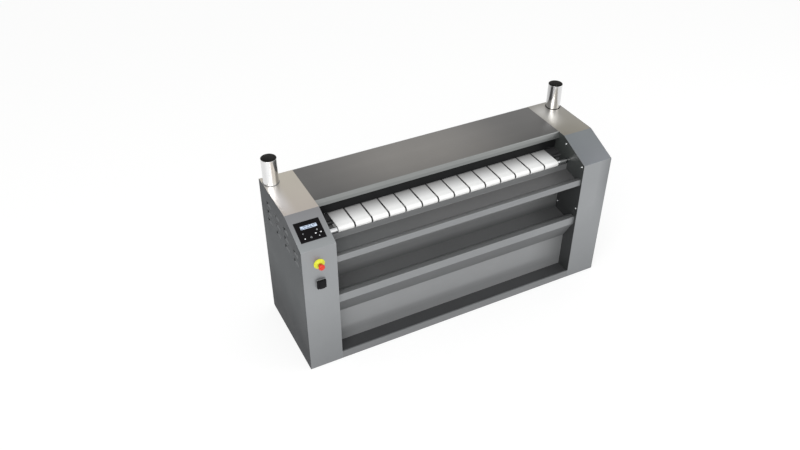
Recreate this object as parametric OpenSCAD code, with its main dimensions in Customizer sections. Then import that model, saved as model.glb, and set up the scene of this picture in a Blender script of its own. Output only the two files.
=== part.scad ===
// Flatwork ironer. Feed belts on top carry damp linen to a heated cylinder,
// ironing belts press it round the back of the cylinder, and it slides out into the lower tray.
// Millimetres, +Z up, the operator stands at -Y, the origin is on the floor under the middle.

/* [Body] */
// Length over both end cabinets
body_l = 2000; // [1700:10:2600]
// Depth of the end cabinets
body_d = 616; // [604:2:680]
// Height of the flat tops above the floor
body_h = 958; // [940:2:1000]
// Width of one end cabinet
cabinet_w = 200; // [198:1:240]
// Depth of the sloping panels
slope_d = 221; // [205:1:235]
// Height of the sloping panels
slope_h = 93; // [80:1:100]
// Thickness of the casing sheets
sheet_t = 1.5; // [1:0.25:2]
// Thickness of the inner plates that carry the rollers
plate_t = 5; // [4:0.5:6]
// Gap between the casing and the floor
floor_gap = 4; // [3:0.5:8]

/* [Base] */
// Side of the square frame tubes
tube_s = 30; // [25:1:35]
// Wall of the square frame tubes
tube_wall = 2.5; // [2:0.5:4]
// Height of the top of the base frame
base_top = 46; // [44:1:50]
// Thickness of the floor pan
pan_t = 2; // [1:0.5:3]
// Height of the top of the skirting bar
skirting_top = 55; // [52:1:60]
// Depth of the skirting bar
skirting_d = 9; // [7:1:12]
// Radius of a foot pad
foot_r = 25; // [20:1:28]
// Radius of a foot stud
foot_stud_r = 8; // [6:0.5:10]

/* [Feed table] */
// Drop from the flat tops to the upper face of the feed belts
table_drop = 125; // [120:1:135]
// Width of one belt
belt_w = 94; // [60:1:120]
// Gap between neighbouring belts
belt_gap = 10.1; // [3:0.1:12]
// Thickness of a belt
belt_t = 2; // [1.5:0.25:2.5]
// Least distance from the outermost belt to the inner plate
belt_margin = 70; // [60:1:90]
// Radius of the feed rollers
feed_r = 16; // [14:0.5:18]
// Radius of the feed roller shafts
feed_shaft_r = 9; // [6:0.5:10]
// Distance from the cabinet front to the front feed roller's axis
feed_front_y = 165; // [160:1:170]
// Distance between the axes of the feed rollers
feed_span = 160; // [150:1:162]
// Radius of the rod that carries the support plate
rod_r = 7; // [5:0.5:8]

/* [Cylinder] */
// Outer radius of the heated cylinder
cyl_r = 125; // [118:1:127]
// Wall of the heated cylinder
cyl_wall = 8; // [6:1:12]
// Distance from the rear feed roller's axis to the cylinder's axis
cyl_back = 120; // [118:1:124]
// Distance from each end of the cylinder to the inner plate
cyl_end_gap = 30; // [20:1:40]
// Outer radius of the hollow journals
journal_r = 40; // [36:1:44]
// Radius of the bore in the journals
journal_bore_r = 32; // [30:1:34]
// Radius of the rollers that carry the ironing belts
press_r = 25; // [22:0.5:26]
// Radius of the shafts of those rollers
press_shaft_r = 10; // [8:0.5:12]
// Place of the entry roller round the cylinder, in degrees from the rear
entry_angle = 115; // [112:1:118]
// Place of the exit roller round the cylinder, in degrees from the rear
exit_angle = 250; // [246:1:254]
// Gap between the ironing belts and the rear panel
belt_back_gap = 19; // [10:1:24]
// Height of the rear rollers above and below the cylinder's axis
rear_rise = 132; // [125:1:140]
// Radius of a heating rod
rod_heat_r = 5; // [4:0.5:5.5]
// Number of heating rods
heat_count = 6; // [3:1:6]

/* [Trays] */
// Drop from the belts to the bottom edge of the upper tray
feed_tray_drop = 112; // [105:1:120]
// Drop from the belts to the lip of the lower tray
lip_drop = 352; // [330:1:370]
// Height of the lower tray's front face
lip_h = 55; // [35:1:60]
// Height of the sloping panel under the lower tray
bevel_h = 141; // [110:1:150]
// Distance from the cabinet front to the lower panel
lower_panel_y = 100; // [90:1:115]
// Distance from the cabinet front to the back wall of the lower tray
tray_wall_y = 208; // [195:1:215]

/* [Chimneys and fans] */
// Outer radius of a chimney pipe
pipe_r = 44.45; // [40:0.05:45]
// Wall of a chimney pipe
pipe_wall = 1.5; // [1:0.5:3]
// Height of the chimneys above the flat tops
pipe_out = 160; // [100:5:300]
// Distance from a cabinet's outer face to a chimney's axis
pipe_in = 50; // [50:1:56]
// Distance from a chimney's axis to the cabinet's back
pipe_back = 65; // [61:1:71]
// Radius of a fan housing
fan_r = 92; // [85:1:94]
// Width of a fan housing
fan_w = 68; // [60:1:72]

/* [Drive] */
// Pitch of the drive chain
chain_pitch = 12.7; // [9.525:3.175:12.7]
// Teeth on the cylinder's sprocket
cyl_teeth = 48; // [36:12:48]
// Teeth on the motor's sprocket
motor_teeth = 24; // [12:12:24]
// Distance from the cabinet front to the gear motor's output shaft
motor_y = 320; // [300:1:340]
// Height of the gear motor's output shaft
motor_z = 330; // [320:1:360]
// Radius of the electric motor
motor_r = 53; // [45:1:54]
// Length of the electric motor
motor_l = 185; // [150:5:190]

/* [Controls] */
// Width of the membrane panel
panel_w = 144; // [130:1:150]
// Length of the membrane panel along the slope
panel_l = 126; // [120:1:135]
// Radius of a membrane key
key_r = 6; // [5:0.5:7]
// Depth that a membrane key can be pressed
key_travel = 0.8; // [0.5:0.1:1]
// Radius of the emergency stop's yellow collar
collar_r = 31; // [28:1:35]
// Radius of the emergency stop's red head
stop_r = 18; // [17:1:22]
// Distance that the emergency stop stands out
stop_out = 44; // [43:1:55]
// Side of the main switch's plate
switch_s = 54; // [52:1:64]
// Side of the main switch's knob
knob_s = 51; // [40:1:52]

/* [Hidden] */
$fn = 64;

// Overrun of every cut
over = 1;
// Gap between pieces that lie close together
gap = 0.3;
// Radial clearance of every shaft in its bearing
run = 0.05;

// Main planes
inner_x = body_l / 2 - cabinet_w;
outer_x = body_l / 2;
hub_x = inner_x + plate_t;
front_h = body_h - slope_h;
slope_a = atan2(slope_h, slope_d);
gland_out = 24;
front_y = -(body_d + gland_out - stop_out) / 2;

// Linen path
table_z = body_h - table_drop;
belt_pitch = belt_w + belt_gap;
belt_count = floor((2 * (inner_x - belt_margin) + belt_gap) / belt_pitch);
feed_axis_z = table_z - belt_t - gap - feed_r;
feed_rear_y = feed_front_y + feed_span;
feed_out = feed_r + gap + belt_t;
cyl_y = feed_rear_y + cyl_back;
cyl_z = table_z - cyl_r * sin(entry_angle);
press_off = cyl_r + gap + belt_t + gap + press_r;
entry_at = round_cylinder(entry_angle, press_off);
exit_at = round_cylinder(exit_angle, press_off);
press_out = press_r + gap + belt_t;
rear_y = body_d - sheet_t - belt_back_gap - press_out;
rear_top_at = [rear_y, cyl_z + rear_rise];
rear_low_at = [rear_y, cyl_z - rear_rise];
cyl_half = inner_x - cyl_end_gap;
end_disc_t = 10;
roller_end_gap = 20;
roller_tube = 3;
vent_r = 1.5;

// Places along a shaft, outwards from the inner plate
flange_t = 12;
cyl_bearing_w = 36;
cyl_flange_r = 75;
cyl_hub_r = 58;
roller_bearing_w = 22;
roller_flange_r = 31;
roller_flange_t = 8;
roller_hub_r = 20;
hole_gap = 4;
pulley_gap = 8;
pulley_w = 16;
pulley_rim = 2;
pulley_rim_h = 3;
sprocket_gap = 6;
sprocket_t = 7;
pulley_x = hub_x + cyl_bearing_w + pulley_gap;
sprocket_x = pulley_x + pulley_w + sprocket_gap;
journal_x = sprocket_x + sprocket_t + sprocket_gap;
carrier_x = journal_x + pulley_gap / 2;
carrier_t = 4;
rod_heat_out = 8;
heat_ring_r = journal_bore_r - rod_heat_r - hole_gap;

// Feed drive: pulley sizes keep the feed belts as fast as the cylinder's surface
feed_pulley_r = 15;
drive_belt_t = 3;
cyl_pulley_r = feed_pulley_r * (cyl_r + gap + belt_t / 2) / (feed_r + gap + belt_t / 2);

// Chain drive
cyl_pitch_r = chain_pitch / 2 / sin(180 / cyl_teeth);
motor_pitch_r = chain_pitch / 2 / sin(180 / motor_teeth);
roller_share = 0.335;
plate_share = 0.4;
tooth_share = 0.22;
chain_roller_r = chain_pitch * roller_share;
chain_plate_h = chain_pitch * plate_share;
tooth_h = chain_pitch * tooth_share;
chain_plate_t = 1.2;
strap_steps = 48;
motor_shaft_r = 12;
gearbox_w = 56;
gearbox_s = 90;
gearbox_up = 55;
gearbox_down = 68;
motor_foot_t = 7;
motor_foot_edge = 10;
fin_h = 2.5;
fin_t = 3;
fin_pitch = 12;
fin_end = 25;
motor_gap = 1;
motor_shaft_in = 2;

// Trays and inner sheets
tray_gap = 2;
feed_wall_in = 6;
feed_wall_y = feed_front_y - feed_wall_in;
feed_flange_z = feed_axis_z - feed_out - tray_gap;
feed_flange_d = 14;
feed_floor_back = 76;
feed_floor_front = 96;
feed_floor_y = 70;
feed_rise_y = 37;
feed_lip_y = 13;
feed_lip_drop = 71;
feed_crease_drop = 75;
feed_hem = 14;
feed_foot_y = 11;
floor_back_drop = 41;
floor_front_drop = 53;
tray_floor_y = 118;
tray_rise_y = 52;
tray_lip_y = 18;
tray_foot_y = 20;
wall_top_rise = 79;
bevel_in = 3;
chute_gap = 5;
chute_rise = 30;
panel_flange_h = 18;
shield_y = 240;
shield_bottom = 190;
shield_hem = 12;
cover_y = 277;
cover_lip_y = 264;
cover_lip_h = 40;
cover_hem = 8;
cover_back_h = 28;
support_gap = 1;
support_y = 247;
support_t = 2;
support_fold = 12;
rod_y = 236;
rod_drop = 18;

// Finger guard
guard_y = 296;
guard_bottom_rise = 8;
guard_axis_drop = 20;
guard_tube_r = 7;
guard_t = 2;
guard_bead_r = 3;
guard_pin_r = 5;
guard_pin_out = 3;
guard_end = 1.5;
guard_z = body_h - guard_axis_drop;

// Stripper fingers
finger_bar_front = 123;
finger_bar_drop = 68;
finger_bar = [cyl_y - finger_bar_front, cyl_z - finger_bar_drop];
finger_bar_r = 6;
finger_angle = 238;
finger_t = 4;
finger_gap = 0.5;
finger_root = 5;

// Louvres of the side panels
louvre_l = 66;
louvre_h = 30;
louvre_in = 11;
louvre_blade_h = 15;
louvre_first_y = 78;
louvre_step_y = 133;
louvre_first_drop = 98;
louvre_step_z = 57;
louvre_cols = 4;
louvre_rows = 3;
louvre_edge = 14;

// Vapour slots of the inner plates
slot_count = 6;
slot_w = 12;
slot_h = 36;
slot_y = 350;
slot_step = 34;
slot_drop = 54;

// Feet, tie bars and screws
foot_in = 50;
foot_x = outer_x - foot_in;
foot_pad_h = 10;
foot_stud_in = 12;
foot_nut_r = 15;
bar_y = 20;
tie_y = body_d - sheet_t - gap - tube_s;
tie_at = [
    [lower_panel_y + sheet_t + gap, table_z - lip_drop - lip_h - bevel_h - tube_s],
    [tie_y, cyl_z - rear_rise - press_out - 2 * tube_s],
    [tie_y, body_h - cover_back_h - gap - tube_s]
];
screw_r = 4;
screw_head_r = 6.5;
screw_head_h = 4;
screw_l = 16;
screw_clear = 0.2;
screw_top = [191, 43];
screw_front = [21, 18];
screw_middle = [20, 320];
screw_tray = [196, 374];
screw_at = [
    [screw_top[0], body_h - screw_top[1]], [screw_front[0], front_h - screw_front[1]],
    [screw_middle[0], front_h - screw_middle[1]], [screw_tray[0], front_h - screw_tray[1]]
];
back_screw_r = 2.5;
back_head_r = 4.5;
back_head_h = 2.5;
back_screw_l = 8;
back_screw_edge = 12;
back_rows = 4;

// Chimneys and fans
pipe_x = outer_x - pipe_in;
pipe_y = body_d - pipe_back;
neck_step = 1;
neck_pipe_r = pipe_r - neck_step;
grommet_w = 2.2;
grommet_lip = 1.5;
grommet_h = 1.5;
fan_wall = 1.5;
duct_ledge = 0.5;
fan_duct_edge = 2;
fan_duct_w = 2 * (pipe_r + pipe_wall + fan_duct_edge);
fan_y = pipe_y - fan_r + fan_duct_w / 2;
fan_drop = 158;
fan_z = body_h - fan_drop;
fan_flange_drop = 58;
fan_flange_z = body_h - fan_flange_drop;
fan_flange_t = 2;
fan_collar_h = 25;
fan_bracket_w = 40;
fan_bracket_h = 12;
fan_inlet_r = 50;
impeller_r = 74;
impeller_w = 44;
blade_t = 2;
blade_count = 12;
blade_h = 28;
rotor_r = 38;
rotor_wall = 4;
rotor_l = 36;
stator_r = 32;
stator_l = 30;
fan_shaft_r = 6;
fan_gap = 3;

// Electrics in the left cabinet
board_y = [90, 520];
board_z = [110, 540];
board_t = 2;
board_off = 25;
spacer_r = 6;
spacer_edge = 20;
rail_h = 35;
rail_t = 7;
contactor = [80, 45, 75];
contactor_count = 3;
contactor_step = 60;
contactor_y = 150;
contactor_z = 440;
terminal = [40, 8, 50];
terminal_count = 12;
terminal_y = 350;
terminal_step = 9;
drive_box = [110, 90, 170];
drive_y = 140;
drive_z = 190;
trafo_box = [80, 90, 80];
trafo_y = 380;
trafo_z = 200;

// Membrane panel on the slope, places along it from its lower edge
panel_in = 98;
panel_x = -outer_x + panel_in;
panel_v = 115;
panel_t = 1;
panel_box_t = 24;
panel_box_edge = 7;
key_h = 1.6;
key_sink = 0.6;
pocket_d = key_h - key_sink + 2 * key_travel;
window_size = [91, 20];
window_v = 24.5;
window_x = 2.5;
window_t = 1.4;
key_side = 42;
key_low = -42;
key_high = -10;
key_menu_x = -7.5;
arrow_x = 38;
arrow_v = -25;
arrow_dx = 14.5;
arrow_dv = 19;

// Emergency stop and main switch on the left cabinet's front
stop_in = 98;
stop_drop = 103;
stop_x = -outer_x + stop_in;
stop_z = front_h - stop_drop;
stop_head_l = 23.5;
stop_rim = 8;
collar_t = 4;
neck_r = 17;
neck_out = 13;
barrel_r = 11;
barrel_l = 22;
stem_r = 6;
stem_head_r = 8;
switch_in = 100;
switch_drop = 239;
switch_x = -outer_x + switch_in;
switch_z = front_h - switch_drop;
switch_t = 3;
knob_t = 12;
grip_w = 30;
grip_t = 4;
knob_shaft_r = 5;
block_s = 42;
block_l = 48;
block_gap = 8;

// Cable gland at the back of the left cabinet
gland_r = 16;
gland_nut_r = 20;
gland_nut_t = 6;
gland_bore_r = 8;
gland_in = 14;
gland_side = 100;
gland_x = -outer_x + gland_side;
gland_z = 150;

// Temperature probes in the heat shield
probe_r = 4;
probe_nut_r = 8;
probe_nut_t = 5;
probe_gap = 0.5;
probe_x = [-600, 600];

// Helpers

// A point at an angle and distance from the cylinder's axis, as [y, z]
function round_cylinder(a, r) = [cyl_y + r * cos(a), cyl_z + r * sin(a)];

// Left-hand normal of segment i of an outline
function side_of(p, i) =
    let (d = p[i + 1] - p[i])
    [-d[1], d[0]] / norm(d);

// Shift of corner i that moves an outline sideways by t
function corner(p, i, t) =
    let (a = side_of(p, max(i - 1, 0)), b = side_of(p, min(i, len(p) - 2)))
    t * (a + b) / (1 + a * b);

// Outline of a folded sheet: the points p and the same points moved to the left by t
function folded(p, t) =
    concat(p, [for (i = [len(p) - 1 : -1 : 0]) p[i] + corner(p, i, t)]);

// Height of the cabinet's outline at a distance y from its front
function top_at(y) = y < slope_d ? front_h + y * slope_h / slope_d : body_h;

// Moves pieces measured from the cabinet front into the part's frame
module placed() {
    translate([0, front_y, 0])
        children();
}

// Extrudes a [y, z] shape along X
module along_x(x0, x1) {
    translate([x0, 0, 0])
        rotate([90, 0, 90])
            linear_extrude(x1 - x0)
                children();
}

// A round bar along X with its axis at [y, z]
module bar_x(at, r, x0, x1) {
    translate([x0, at[0], at[1]])
        rotate([0, 90, 0])
            cylinder(h = x1 - x0, r = r);
}

// A round bar along Y, from y0 to y1
module bar_y_axis(x, z, r, y0, y1) {
    translate([x, y0, z])
        rotate([-90, 0, 0])
            cylinder(h = y1 - y0, r = r);
}

// The same piece at both ends of the machine
module both_ends() {
    children();
    mirror([1, 0, 0])
        children();
}

// A folded sheet between the inner plates
module cross_sheet(p, t) {
    along_x(-inner_x, inner_x)
        polygon(folded(p, t));
}

// A square tube along X with its lower front corner at [y, z]
module tube_x(at, x0, x1) {
    along_x(x0, x1)
        translate(at)
            difference() {
                square(tube_s);
                translate([tube_wall, tube_wall])
                    square(tube_s - 2 * tube_wall);
            }
}

// Outline round two circles and the straight runs between them
module loop_2d(c1, r1, c2, r2) {
    d = (c2 - c1) / norm(c2 - c1);
    s = (r1 - r2) / norm(c2 - c1);
    c = sqrt(1 - s * s);
    n1 = s * d + c * [-d[1], d[0]];
    n2 = s * d - c * [-d[1], d[0]];
    union() {
        translate(c1)
            circle(r1);
        translate(c2)
            circle(r2);
        polygon([c1 + r1 * n1, c2 + r2 * n1, c2 + r2 * n2, c1 + r1 * n2]);
    }
}

// A band of thickness t round two circles
module band_2d(c1, r1, c2, r2, t) {
    difference() {
        loop_2d(c1, r1 + t, c2, r2 + t);
        loop_2d(c1, r1, c2, r2);
    }
}

// Points of an arc
function arc_points(c, r, a0, a1, n) =
    [for (i = [0 : n]) c + r * [cos(a0 + (a1 - a0) * i / n), sin(a0 + (a1 - a0) * i / n)]];

// Outline round a large and a small circle, as points
function strap_points(c1, r1, c2, r2) =
    let (
        d = c2 - c1,
        a = atan2(d[1], d[0]),
        g = acos((r1 - r2) / norm(d))
    )
    concat(
        arc_points(c1, r1, a + g, a + 360 - g, strap_steps),
        arc_points(c2, r2, a - g, a + g, strap_steps / 2)
    );

// A closed strap of thickness t round two circles
module strap_2d(c1, r1, c2, r2, t) {
    difference() {
        polygon(strap_points(c1, r1 + t, c2, r2 + t));
        polygon(strap_points(c1, r1, c2, r2));
    }
}

// Stands on the left slope at x and at a distance v up it, with +Z square to it
module on_slope(x, v) {
    placed()
        translate([x, v * cos(slope_a), front_h + v * sin(slope_a)])
            rotate([slope_a, 0, 0])
                children();
}

// Places of the belts across the machine
module each_belt() {
    for (i = [0 : belt_count - 1])
        translate([(i - (belt_count - 1) / 2) * belt_pitch, 0, 0])
            children();
}

// Casing outline and the line one sheet inside it
casing_line = [[0, floor_gap], [0, front_h], [slope_d, body_h], [body_d - sheet_t, body_h]];
inside_line = [for (i = [0 : len(casing_line) - 1]) casing_line[i] + corner(casing_line, i, -sheet_t)];

// Base

bar_front_y = bar_y;
bar_rear_y = body_d - sheet_t - gap - foot_r - tube_s / 2;
bar_x_end = outer_x - sheet_t - gap;

module sill(x) {
    translate([x, bar_front_y + tube_s, base_top - tube_s])
        difference() {
            cube([tube_s, bar_rear_y - bar_front_y - tube_s, tube_s]);
            translate([tube_wall, -over, tube_wall])
                cube([
                    tube_s - 2 * tube_wall,
                    bar_rear_y - bar_front_y - tube_s + 2 * over,
                    tube_s - 2 * tube_wall
                ]);
        }
}

module base_frame() {
    color("dimgray")
        placed() {
            difference() {
                for (at = tie_at)
                    tube_x(at, -inner_x, inner_x);
                each_back_screw()
                    bar_y_axis(0, 0, back_screw_r + run, body_d - back_screw_l - over, body_d);
            }
            difference() {
                union() {
                    for (y = [bar_front_y, bar_rear_y])
                        tube_x([y, base_top - tube_s], -bar_x_end, bar_x_end);
                    both_ends() {
                        sill(inner_x - tube_s / 2);
                        sill(bar_x_end - tube_s);
                    }
                    translate([-inner_x, skirting_d, base_top])
                        cube([2 * inner_x, bar_rear_y + tube_s - skirting_d, pan_t]);
                }
                both_ends()
                    for (y = [bar_front_y, bar_rear_y])
                        translate([foot_x, y + tube_s / 2, base_top - tube_s - over])
                            cylinder(h = tube_wall + 2 * over, r = foot_stud_r + run);
            }
        }
}

module feet() {
    color("black")
        placed()
            both_ends()
                for (y = [bar_front_y, bar_rear_y])
                    translate([foot_x, y + tube_s / 2, 0]) {
                        cylinder(h = foot_pad_h, r = foot_r);
                        cylinder(h = base_top - tube_s, r = foot_nut_r, $fn = 6);
                        cylinder(h = base_top - tube_s + foot_stud_in, r = foot_stud_r);
                    }
}

module skirting() {
    line = [
        [skirting_d, skirting_top - skirting_d], [skirting_d, skirting_top], [0, skirting_top],
        [0, floor_gap], [skirting_d, floor_gap]
    ];
    color("gray")
        placed()
            cross_sheet(line, sheet_t);
}

// End cabinets

module inner_plate() {
    placed()
        difference() {
            along_x(inner_x, hub_x)
                polygon([
                    [sheet_t, base_top], inside_line[1], inside_line[2],
                    [body_d - sheet_t, body_h - sheet_t], [body_d - sheet_t, base_top]
                ]);
            plate_hole([cyl_y, cyl_z], journal_r + hole_gap);
            for (at = [entry_at, exit_at, rear_top_at, rear_low_at])
                plate_hole(at, press_shaft_r + hole_gap);
            for (y = [feed_front_y, feed_rear_y])
                plate_hole([y, feed_axis_z], feed_shaft_r + hole_gap);
            plate_hole([guard_y, guard_z], guard_pin_r + run);
            for (at = screw_at)
                plate_hole(at, screw_r + screw_clear);
            for (i = [0 : slot_count - 1])
                translate([inner_x - over, slot_y + i * slot_step, body_h - slot_drop])
                    cube([plate_t + 2 * over, slot_w, slot_h]);
        }
}

module plate_hole(at, r) {
    bar_x(at, r, inner_x - over, hub_x + over);
}

module left_inner_plate() {
    color([0.16, 0.16, 0.17])
        mirror([1, 0, 0])
            inner_plate();
}

module right_inner_plate() {
    color([0.16, 0.16, 0.17])
        inner_plate();
}

// Front, slope and top of one cabinet, folded from one sheet, with the chimney's hole
module cabinet_shell() {
    placed()
        difference() {
            along_x(inner_x, outer_x - sheet_t)
                polygon(folded(casing_line, -sheet_t));
            translate([pipe_x, pipe_y, body_h - sheet_t - over])
                cylinder(h = sheet_t + 2 * over, r = pipe_r + grommet_w);
        }
}

module left_shell() {
    color([0.6, 0.61, 0.62])
        difference() {
            mirror([1, 0, 0])
                cabinet_shell();
            on_slope(panel_x, panel_v)
                translate([0, 0, -sheet_t / 2])
                    cube([
                        panel_w - 2 * panel_box_edge + 2 * gap,
                        panel_l - 2 * panel_box_edge + 2 * gap,
                        sheet_t + 2 * over
                    ], center = true);
            placed() {
                bar_y_axis(stop_x, stop_z, barrel_r + gap, -over, sheet_t + over);
                translate([switch_x, sheet_t / 2, switch_z])
                    cube([block_s + 2 * gap, sheet_t + 2 * over, block_s + 2 * gap], center = true);
            }
        }
}

module right_shell() {
    color([0.6, 0.61, 0.62])
        cabinet_shell();
}

// Outer side sheet: inward louvres with their mouths at the top
module side_panel() {
    placed() {
        difference() {
            along_x(outer_x - sheet_t, outer_x)
                polygon([
                    [0, floor_gap], [0, front_h], [slope_d, body_h], [body_d, body_h],
                    [body_d, floor_gap]
                ]);
            each_louvre()
                translate([-sheet_t / 2, 0, 0])
                    cube([sheet_t + 2 * over, louvre_l, louvre_h], center = true);
        }
        each_louvre()
            rotate([90, 0, 0])
                linear_extrude(louvre_l, center = true)
                    polygon(folded([
                        [0, -louvre_h / 2 - sheet_t], [0, -louvre_h / 2],
                        [-louvre_in, louvre_blade_h - louvre_h / 2]
                    ], sheet_t));
    }
}

module each_louvre() {
    for (i = [0 : louvre_cols - 1], j = [0 : louvre_rows - 1]) {
        y = louvre_first_y + i * louvre_step_y;
        z = body_h - louvre_first_drop - j * louvre_step_z;
        if (z + louvre_h / 2 + louvre_edge < top_at(y - louvre_l / 2))
            translate([outer_x, y, z])
                children();
    }
}

module left_side_panel() {
    color([0.39, 0.4, 0.4])
        mirror([1, 0, 0])
            side_panel();
}

module right_side_panel() {
    color([0.39, 0.4, 0.4])
        side_panel();
}

module back_sheet(x0, x1) {
    translate([x0, body_d - sheet_t, floor_gap])
        cube([x1 - x0, sheet_t, body_h - sheet_t - floor_gap]);
}

module rear_panels() {
    color([0.5, 0.5, 0.5])
        placed()
            difference() {
                union() {
                    back_sheet(-inner_x + gap, inner_x - gap);
                    both_ends()
                        back_sheet(inner_x, outer_x - sheet_t);
                }
                bar_y_axis(gland_x, gland_z, gland_r + gap, body_d - sheet_t - over, body_d + over);
                each_back_screw()
                    bar_y_axis(0, 0, back_screw_r + screw_clear, body_d - sheet_t - over, body_d + over);
            }
}

module each_back_screw() {
    for (x = [inner_x - back_screw_edge, inner_x + back_screw_edge, outer_x - back_screw_edge])
        for (i = [0 : back_rows - 1])
            both_ends()
                translate([
                    x, 0,
                    base_top + back_screw_edge
                        + i * (body_h - base_top - 4 * back_screw_edge) / (back_rows - 1)
                ])
                    children();
}

module top_cover() {
    line = [
        [cover_lip_y + cover_hem, body_h - cover_lip_h], [cover_lip_y, body_h - cover_lip_h],
        [cover_y, body_h], [body_d - sheet_t - gap, body_h],
        [body_d - sheet_t - gap, body_h - cover_back_h]
    ];
    color([0.38, 0.37, 0.35])
        placed()
            cross_sheet(line, -sheet_t);
}

// Trays and sheets between the cabinets

module lower_front_panel() {
    y = tray_foot_y + sheet_t + gap;
    z = table_z - lip_drop - lip_h;
    line = [
        [y, z + panel_flange_h], [y, z], [lower_panel_y - bevel_in, z - bevel_h],
        [lower_panel_y, base_top + pan_t]
    ];
    color([0.48, 0.48, 0.49])
        placed()
            cross_sheet(line, sheet_t);
}

module receiving_tray() {
    z = table_z - lip_drop;
    line = [
        [exit_at[0] - press_out - chute_gap, z + wall_top_rise + chute_rise],
        [tray_wall_y, z + wall_top_rise], [tray_wall_y, z - floor_back_drop],
        [tray_floor_y, z - floor_front_drop], [tray_rise_y, z], [tray_lip_y, z],
        [tray_foot_y, z - lip_h]
    ];
    color([0.45, 0.45, 0.46])
        placed()
            cross_sheet(line, sheet_t);
}

module feed_tray() {
    line = [
        [feed_wall_y + feed_flange_d, feed_flange_z], [feed_wall_y, feed_flange_z],
        [feed_wall_y, table_z - feed_floor_back], [feed_floor_y, table_z - feed_floor_front],
        [feed_rise_y, table_z - feed_crease_drop], [feed_lip_y, table_z - feed_lip_drop],
        [feed_foot_y, table_z - feed_tray_drop], [feed_foot_y + feed_hem, table_z - feed_tray_drop]
    ];
    color([0.45, 0.45, 0.46])
        placed()
            cross_sheet(line, sheet_t);
}

module belt_support() {
    z = table_z - belt_t - support_gap;
    line = [
        [support_y, z - support_fold], [support_y, z],
        [feed_rear_y - feed_r - 2 * gap - support_t, z]
    ];
    color([0.3, 0.3, 0.31])
        placed() {
            cross_sheet(line, -support_t);
            bar_x([rod_y, table_z - rod_drop], rod_r, -inner_x, inner_x);
        }
}

module feed_belts() {
    color([0.88, 0.88, 0.87])
        placed()
            each_belt()
                along_x(-belt_w / 2, belt_w / 2)
                    band_2d([feed_front_y, feed_axis_z], feed_r + gap,
                        [feed_rear_y, feed_axis_z], feed_r + gap, belt_t);
}

// Space inside the ironing belts: round four rollers and open towards the cylinder
module press_loop_2d(r, cyl_cut) {
    a = entry_at;
    b = rear_top_at;
    c = rear_low_at;
    d = exit_at;
    nt = side_of([a, b], 0);
    nb = side_of([c, d], 0);
    difference() {
        union() {
            for (at = [a, b, c, d])
                translate(at)
                    circle(r);
            polygon([
                a + r * nt, b + r * nt, b + [r, 0], c + [r, 0], c + r * nb, d + r * nb, d,
                [cyl_y, cyl_z], a
            ]);
        }
        translate([cyl_y, cyl_z])
            circle(cyl_cut);
    }
}

module ironing_belts() {
    color([0.8, 0.78, 0.7])
        placed()
            each_belt()
                along_x(-belt_w / 2, belt_w / 2)
                    difference() {
                        press_loop_2d(press_out, cyl_r + gap);
                        press_loop_2d(press_r + gap, cyl_r + gap + belt_t);
                    }
}

module heat_shield() {
    top = feed_flange_z - tray_gap;
    line = [
        [shield_y + shield_hem, top], [shield_y, top], [shield_y, table_z - shield_bottom],
        [shield_y + shield_hem, table_z - shield_bottom]
    ];
    color([0.55, 0.55, 0.56])
        placed()
            difference() {
                cross_sheet(line, sheet_t);
                for (x = probe_x)
                    bar_y_axis(x, cyl_z, probe_r + run, shield_y - over, shield_y + sheet_t + over);
            }
}

module stripper_fingers() {
    tip = round_cylinder(finger_angle, cyl_r + finger_gap);
    color([0.75, 0.72, 0.6])
        placed() {
            bar_x(finger_bar, finger_bar_r, -inner_x, inner_x);
            each_belt()
                along_x(-finger_t / 2, finger_t / 2)
                    difference() {
                        polygon([
                            finger_bar + [-finger_root, finger_root],
                            finger_bar + [finger_root, finger_root],
                            tip, finger_bar + [-finger_root, -finger_root]
                        ]);
                        translate([cyl_y, cyl_z])
                            circle(cyl_r + finger_gap);
                    }
        }
}

// Cylinder and rollers

module bearing(at, bore_r, flange_r, flange, hub_r, width) {
    difference() {
        union() {
            bar_x(at, flange_r, hub_x, hub_x + flange);
            bar_x(at, hub_r, hub_x, hub_x + width);
        }
        bar_x(at, bore_r + run, hub_x - over, hub_x + width + over);
    }
}

module cylinder_bearings() {
    color("darkslategray")
        placed()
            both_ends()
                bearing([cyl_y, cyl_z], journal_r, cyl_flange_r, flange_t, cyl_hub_r, cyl_bearing_w);
}

module roller_bearings() {
    color("darkslategray")
        placed()
            both_ends() {
                for (at = [entry_at, exit_at, rear_top_at, rear_low_at])
                    bearing(at, press_shaft_r, roller_flange_r, roller_flange_t, roller_hub_r,
                        roller_bearing_w);
                for (y = [feed_front_y, feed_rear_y])
                    bearing([y, feed_axis_z], feed_shaft_r, roller_flange_r, roller_flange_t,
                        roller_hub_r, roller_bearing_w);
            }
}

module cylinder_body() {
    at = [cyl_y, cyl_z];
    difference() {
        union() {
            difference() {
                bar_x(at, cyl_r, -cyl_half, cyl_half);
                bar_x(at, cyl_r - cyl_wall, -cyl_half + end_disc_t, cyl_half - end_disc_t);
            }
            both_ends()
                bar_x(at, journal_r, cyl_half - end_disc_t, journal_x);
        }
        bar_x(at, journal_bore_r, -journal_x - over, journal_x + over);
    }
}

module cylinder_node() {
    color("silver")
        placed()
            cylinder_body();
}

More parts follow.
